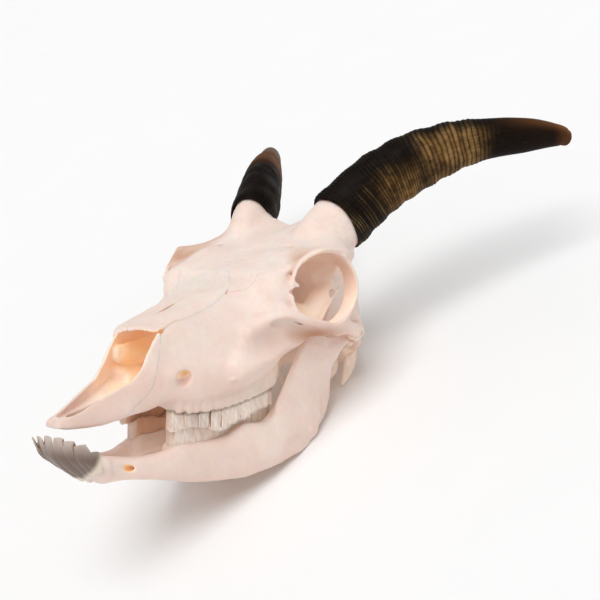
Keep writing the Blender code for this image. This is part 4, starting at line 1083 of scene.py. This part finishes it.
# Horn keratin: near black with a silky grain along the horn, tan where the ribs are worn down to
# paler layers, paler on the ridge crests, partly worn and partly painted highlight, and russet near
# the tip, a painted glow of light coming through it.
horn, tree, shader, at, along, around, ridge, olive, russet_light = new_finish(
    "horn_keratin", ("along", "around", "ridge", "olive", "russet_light"))
# Fibres 0.9 mm wide, drawn coarser than real so that they show, and eight times as long
drawn_out = add_node(tree, "Math", {0: along, 1: 0.12}, operation="MULTIPLY")
fibre = add_node(tree, "CombineXYZ", {0: around, 1: drawn_out, 2: 0.0})
strands = add_node(tree, "TexNoise", {"Vector": fibre, "Scale": 1 / 0.9, "Detail": 5.0,
                                      "Roughness": 0.55})
dark = add_node(tree, "MapRange", {"Value": strands, "From Min": 0.3, "From Max": 0.75},
                interpolation_type="SMOOTHSTEP")
colour = add_node(tree, "Mix", {0: dark, 6: linear("#080403"), 7: linear("#1C120B")}, 2,
                  data_type="RGBA")
blotches = add_node(tree, "TexNoise", {"Vector": at, "Scale": 1 / 5.0, "Detail": 4.0,
                                       "Roughness": 0.55})
blotches = add_node(tree, "MapRange", {"Value": blotches, "From Min": 0.35, "From Max": 0.7},
                    interpolation_type="SMOOTHSTEP")
tan = add_node(tree, "Mix", {0: blotches, 6: linear("#A67C46"), 7: linear("#5C4020")}, 2,
               data_type="RGBA")
worn = add_node(tree, "MapRange", {"Value": strands, "From Min": 0.2, "From Max": 0.7,
                                   "To Min": 0.62, "To Max": 0.92},
                interpolation_type="SMOOTHSTEP")
worn = add_node(tree, "Math", {0: olive, 1: worn}, operation="MULTIPLY")
# Paler ridge crests: partly wear, partly painted highlight
worn_and_highlit = add_node(tree, "MapRange", {"Value": strands, "From Min": 0.25, "From Max": 0.7,
                                     "To Min": 0.15, "To Max": 0.7},
                  interpolation_type="SMOOTHSTEP")
worn_and_highlit = add_node(tree, "Math", {0: ridge, 1: worn_and_highlit}, operation="MULTIPLY")
for share, laid_over in ((worn, tan), (worn_and_highlit, linear("#8E7650")), (russet_light, linear("#84542E"))):
    colour = add_node(tree, "Mix", {0: share, 6: colour, 7: laid_over}, 2, data_type="RGBA")
tree.links.new(colour, shader.inputs["Base Color"])
shader.inputs["Roughness"].default_value = 0.48
shader.inputs["IOR"].default_value = 1.54
shader.inputs["Specular IOR Level"].default_value = 0.06
bump = add_node(tree, "Bump", {"Height": strands, "Distance": 0.0003, "Strength": 0.7})
tree.links.new(bump, shader.inputs["Normal"])

HORN_RADII = [(13.0, 17.6), (13.2, 18.3), (13.0, 18.2), (12.6, 17.8), (11.2, 16.0), (8.9, 12.6),
              (7.4, 10.2), (5.4, 6.8), (4.2, 5.2)]
SIDE = 160          # points round a sheath
STEPS = 1400        # steps along the core line that it is measured on
FRONT_LEFT = (0.61, -0.79, 0.03)        # the way out from the head to its left front
brow = Wax((-64, 108, 54), (64, 186, 116), 0.9)
brow.add(sections(BROW))


def ridges(phase, seed, sharp):
    """Ridges across the horn, one for each whole number of phase, each of its own height."""
    height = np.random.default_rng(seed).uniform(0.35, 1.0, 400)
    number = np.floor(phase).astype(int)
    return np.abs(np.sin(np.pi * phase)) ** sharp * height[number % 400]


def at_lengths(lengths, known, table):
    """Points of a line, or of a table of rings, at other lengths along the horn."""
    out = np.empty((*lengths.shape, 3))
    for k in range(SIDE):
        for axis in range(3):
            column = table[:, k, axis] if table.ndim == 3 else table[:, axis]
            out[:, k, axis] = np.interp(lengths[:, k], known, column)
    return out


INNER_RINGS = ((14.0, 2.2), (6.0, 2.0), (1.0, 1.5), (0.1, 1.0))     # mm deep, mm inside the skin
TIP_RINGS = (0.96, 0.86, 0.7, 0.45, 0.2)                            # share of the last ring


def spread(values, rings):
    """One number per point, also for the inside, the tip and the middle of both ends."""
    values = np.broadcast_to(values, (rings, SIDE))
    return np.concatenate((np.repeat(values[:1], len(INNER_RINGS), 0).ravel(), values.ravel(),
                           np.repeat(values[-1:], len(TIP_RINGS), 0).ravel(),
                           [values[0].mean(), values[-1].mean()]))


for word, path, rings, lift_of_mouth in (("left", LEFT_HORN, 760, 4.5),
                                         ("right", RIGHT_HORN, 600, 0.5)):
    line = spline(path, STEPS)
    wide = spline(HORN_RADII, STEPS)
    ahead = np.gradient(line, axis=0)
    ahead /= np.linalg.norm(ahead, axis=1)[:, None]
    across = np.cross(ahead, (0, 0, 1.0))
    across /= np.linalg.norm(across, axis=1)[:, None]
    lift = np.cross(across, ahead)
    turn = np.linspace(0, 2 * math.pi, SIDE, endpoint=False)
    cos, sin = np.cos(turn)[None, :, None], np.sin(turn)[None, :, None]
    body = (line[:, None] + across[:, None] * wide[:, :1, None] * cos
            + lift[:, None] * wide[:, 1:, None] * sin)
    length = np.concatenate(([0], np.cumsum(np.linalg.norm(np.diff(line, axis=0), axis=1))))
    # The mouth is an oblique cut that stays clear of the brow and stands higher in front
    tilt = np.array(path[2], float) - np.array(path[1], float)
    tilt = tilt / np.linalg.norm(tilt) + np.array((0.0, 0.35, 0.25))
    tilt /= np.linalg.norm(tilt)
    past = (body - (np.array(path[1]) - tilt * 4.0)) @ tilt
    clear = brow.sample(body.reshape(-1, 3)).reshape(past.shape) - 2.2
    near_root = (length < 60)[:, None]
    free = np.where(near_root, np.minimum(past, clear), 1.0) > 0
    mouth = np.array([length[STEPS - 1 - np.argmax(~free[::-1, k])] for k in range(SIDE)])
    rolled = np.concatenate((mouth[-6:], mouth, mouth[:6]))
    mouth = np.convolve(rolled, np.hanning(15)[1:-1] / np.hanning(15).sum(), "valid")
    to_front = math.atan2(lift[60] @ FRONT_LEFT, across[60] @ FRONT_LEFT)
    swing = (turn - to_front + math.pi) % (2 * math.pi) - math.pi
    mouth = mouth + lift_of_mouth * np.exp(-(swing / 0.9) ** 2)
    share = np.linspace(0, 1, rings) ** 1.12
    reach = mouth[None] + share[:, None] * (length[-1] - mouth[None])
    skin = at_lengths(reach, length, body)
    middle = at_lengths(reach, length, line)
    out = skin - middle
    out /= np.maximum(np.linalg.norm(out, axis=2), 1e-6)[:, :, None]
    part = (reach - mouth.mean()) / (length[-1] - mouth.mean())
    wavy, wavy_fine, patchy = (lumps(skin.reshape(-1, 3), size, seed).reshape(rings, SIDE)
                               for size, seed in ((17.0, 31), (4.5, 32), (8.0, 33)))

    # Fine ridges near the mouth, ribs half way, and a slow swelling under both
    fine_ridge = ridges(reach / 1.9 + 0.8 * wavy + 0.16 * wavy_fine, 34, 0.8)
    finest = ridges(reach / 0.95 + 1.2 * wavy + 0.3 * wavy_fine, 35, 1.0)
    rib = ridges(reach / 2.9 + 0.7 * wavy + 0.16 * wavy_fine, 36, 0.9)
    fine_share = step_up(0.50, 0.28, part) * np.clip(0.8 + 0.7 * patchy, 0.15, 1.3)
    rib_share = step_up(0.30, 0.42, part) * step_up(0.72, 0.56, part) \
        * np.clip(0.9 + 0.6 * patchy, 0.2, 1.3)
    bulge = np.sin(2 * np.pi * (reach / 15.0 + 0.3 * wavy)) * step_up(0.72, 0.5, part)
    height = (0.50 * fine_share * fine_ridge + 0.22 * fine_share * finest
              + 0.60 * rib_share * rib + 0.36 * bulge
              + 0.16 * wavy_fine * step_up(0.8, 0.5, part) + 0.12 * patchy - 0.3)
    lip = np.clip((reach - mouth[None]) / 1.2, 0, 1)
    skin += out * (height * lip - 0.35 * (1 - lip))[:, :, None]
    inner = [at_lengths(mouth[None] + deep, length, body)[0] - out[0] * inset
             for deep, inset in INNER_RINGS]
    tip = [middle[-1] + (skin[-1] - middle[-1]) * scale
           + ahead[-1] * 3.4 * math.sqrt(1 - scale * scale) for scale in TIP_RINGS]
    points, quads, tris = skin_over(np.concatenate((np.array(inner), skin, np.array(tip))))

    # Where the tan, the crests (partly worn, partly painted highlight) and the painted russet light
    # show
    under = 0.5 - 0.5 * np.sin(turn - 0.35)[None]
    patch = np.exp(-((part - 0.26 - 0.04 * wavy) / 0.07) ** 2) * step_up(0.40, 0.85, under) \
        * (0.30 + 0.70 * step_up(0.15, 0.7, fine_ridge + 0.4 * patchy))
    ribbed = step_up(0.36, 0.44, part) * step_up(0.72, 0.55, part + 0.04 * patchy) \
        * step_up(0.12, 0.55, under + 0.15 * patchy) * (0.8 + 0.3 * patchy)
    olive_share = np.clip(0.8 * patch + ribbed * (0.3 + 0.7 * step_up(0.1, 0.6, rib)), 0, 1)
    edges = step_up(0.35, 0.9, fine_ridge) * fine_share * step_up(0.3, 0.8, under) \
        * (0.35 + 0.35 * patchy)
    crest = np.clip(edges + step_up(0.3, 0.8, rib) * rib_share * (0.15 + 0.85 * ribbed), 0, 1)
    above = step_up(0.75, 0.2, under)
    # Painted glow at the tip, mostly along its upper side
    russet_light_share = step_up(0.66, 0.98, part) * (0.02 + 0.50 * above * above
                                                + 0.32 * step_up(0.93, 1.0, part))
    # On the right horn the russet is a painted highlight on its upper side and a painted glow at the
    # tip
    if word == "right":
        russet_light_share = 0.55 * step_up(0.26, 0.5, part) * step_up(0.9, 0.2, under) \
            * (1 + 0.5 * patchy) + 0.3 * step_up(0.85, 1.0, part)
    facts = {"along": reach, "around": turn[None] * 14.0, "ridge": crest, "olive": olive_share,
             "russet_light": russet_light_share}
    facts = {fact: spread(values, rings) for fact, values in facts.items()}
    piece("sheath_" + word, points, quads.tolist() + tris.tolist(), facts, horn,
          "horn_" + word, slot="horn")


# ==== The table, the light and the camera =======================================================
# The skull lies on a plain sheet of matt white paper. One broad soft lamp hangs nearly overhead
# in an even white surround, and the camera stands to the left in front of it, a little above.

TABLE_HALF = 6.0        # m
sheet = bpy.data.meshes.new("table")
sheet.from_pydata([(x * TABLE_HALF, y * TABLE_HALF, 0)
                   for x, y in ((-1, -1), (1, -1), (1, 1), (-1, 1))], [], [(0, 1, 2, 3)])
paper, tree, shader, at = new_finish("pale_paper")
clouds = add_node(tree, "TexNoise", {"Vector": at, "Scale": 1 / 60.0, "Detail": 2.0,
                                     "Roughness": 0.55})
colour = add_node(tree, "Mix", {0: clouds, 6: linear("#FCFCFC"), 7: linear("#F9F9F9")}, 2,
                  data_type="RGBA")
tree.links.new(colour, shader.inputs["Base Color"])
shader.inputs["Roughness"].default_value = 0.9
sheet.materials.append(paper)
table = bpy.data.objects.new("table", sheet)
bpy.context.collection.objects.link(table)

lamp = bpy.data.lights.new("key", "SUN")
lamp.energy = 1.72
lamp.angle = math.radians(38)
key = bpy.data.objects.new("key", lamp)
bpy.context.collection.objects.link(key)
key.rotation_euler = Vector((-0.2, 0.28, -1.0)).to_track_quat("-Z", "Y").to_euler()
surround = bpy.data.worlds.new("studio")
bpy.context.scene.world = surround
surround.use_nodes = True
surround.node_tree.nodes["Background"].inputs["Color"].default_value = (1, 1, 1, 1)
surround.node_tree.nodes["Background"].inputs["Strength"].default_value = 0.50
bpy.context.scene.view_settings.view_transform = "Standard"

# Where the camera stands in the head's own frame, its right, its up and where it looks
EYE = (462.726, -415.962, 81.120)
EYE_RIGHT = (0.790329, 0.611400, 0.039627)
EYE_UP = (-0.049419, -0.000853, 0.998778)
EYE_AHEAD = (-0.610687, 0.791321, -0.029540)
FOCAL_LENGTH, PHOTO_WIDTH = 1296.5, 600     # in pixels of the photograph
lens = bpy.data.cameras.new("camera")
lens.sensor_width = 36.0
lens.lens = 36.0 * FOCAL_LENGTH / PHOTO_WIDTH
lens.clip_start, lens.clip_end = 0.05, 50.0
camera = bpy.data.objects.new("camera", lens)
bpy.context.collection.objects.link(camera)
right, up, ahead = (Vector(TURN @ np.array(way)) for way in (EYE_RIGHT, EYE_UP, EYE_AHEAD))
camera.matrix_world = Matrix.Translation(lay_down([EYE])[0]) @ Matrix(
    ((right.x, up.x, -ahead.x), (right.y, up.y, -ahead.y), (right.z, up.z, -ahead.z))).to_4x4()
bpy.context.scene.camera = camera
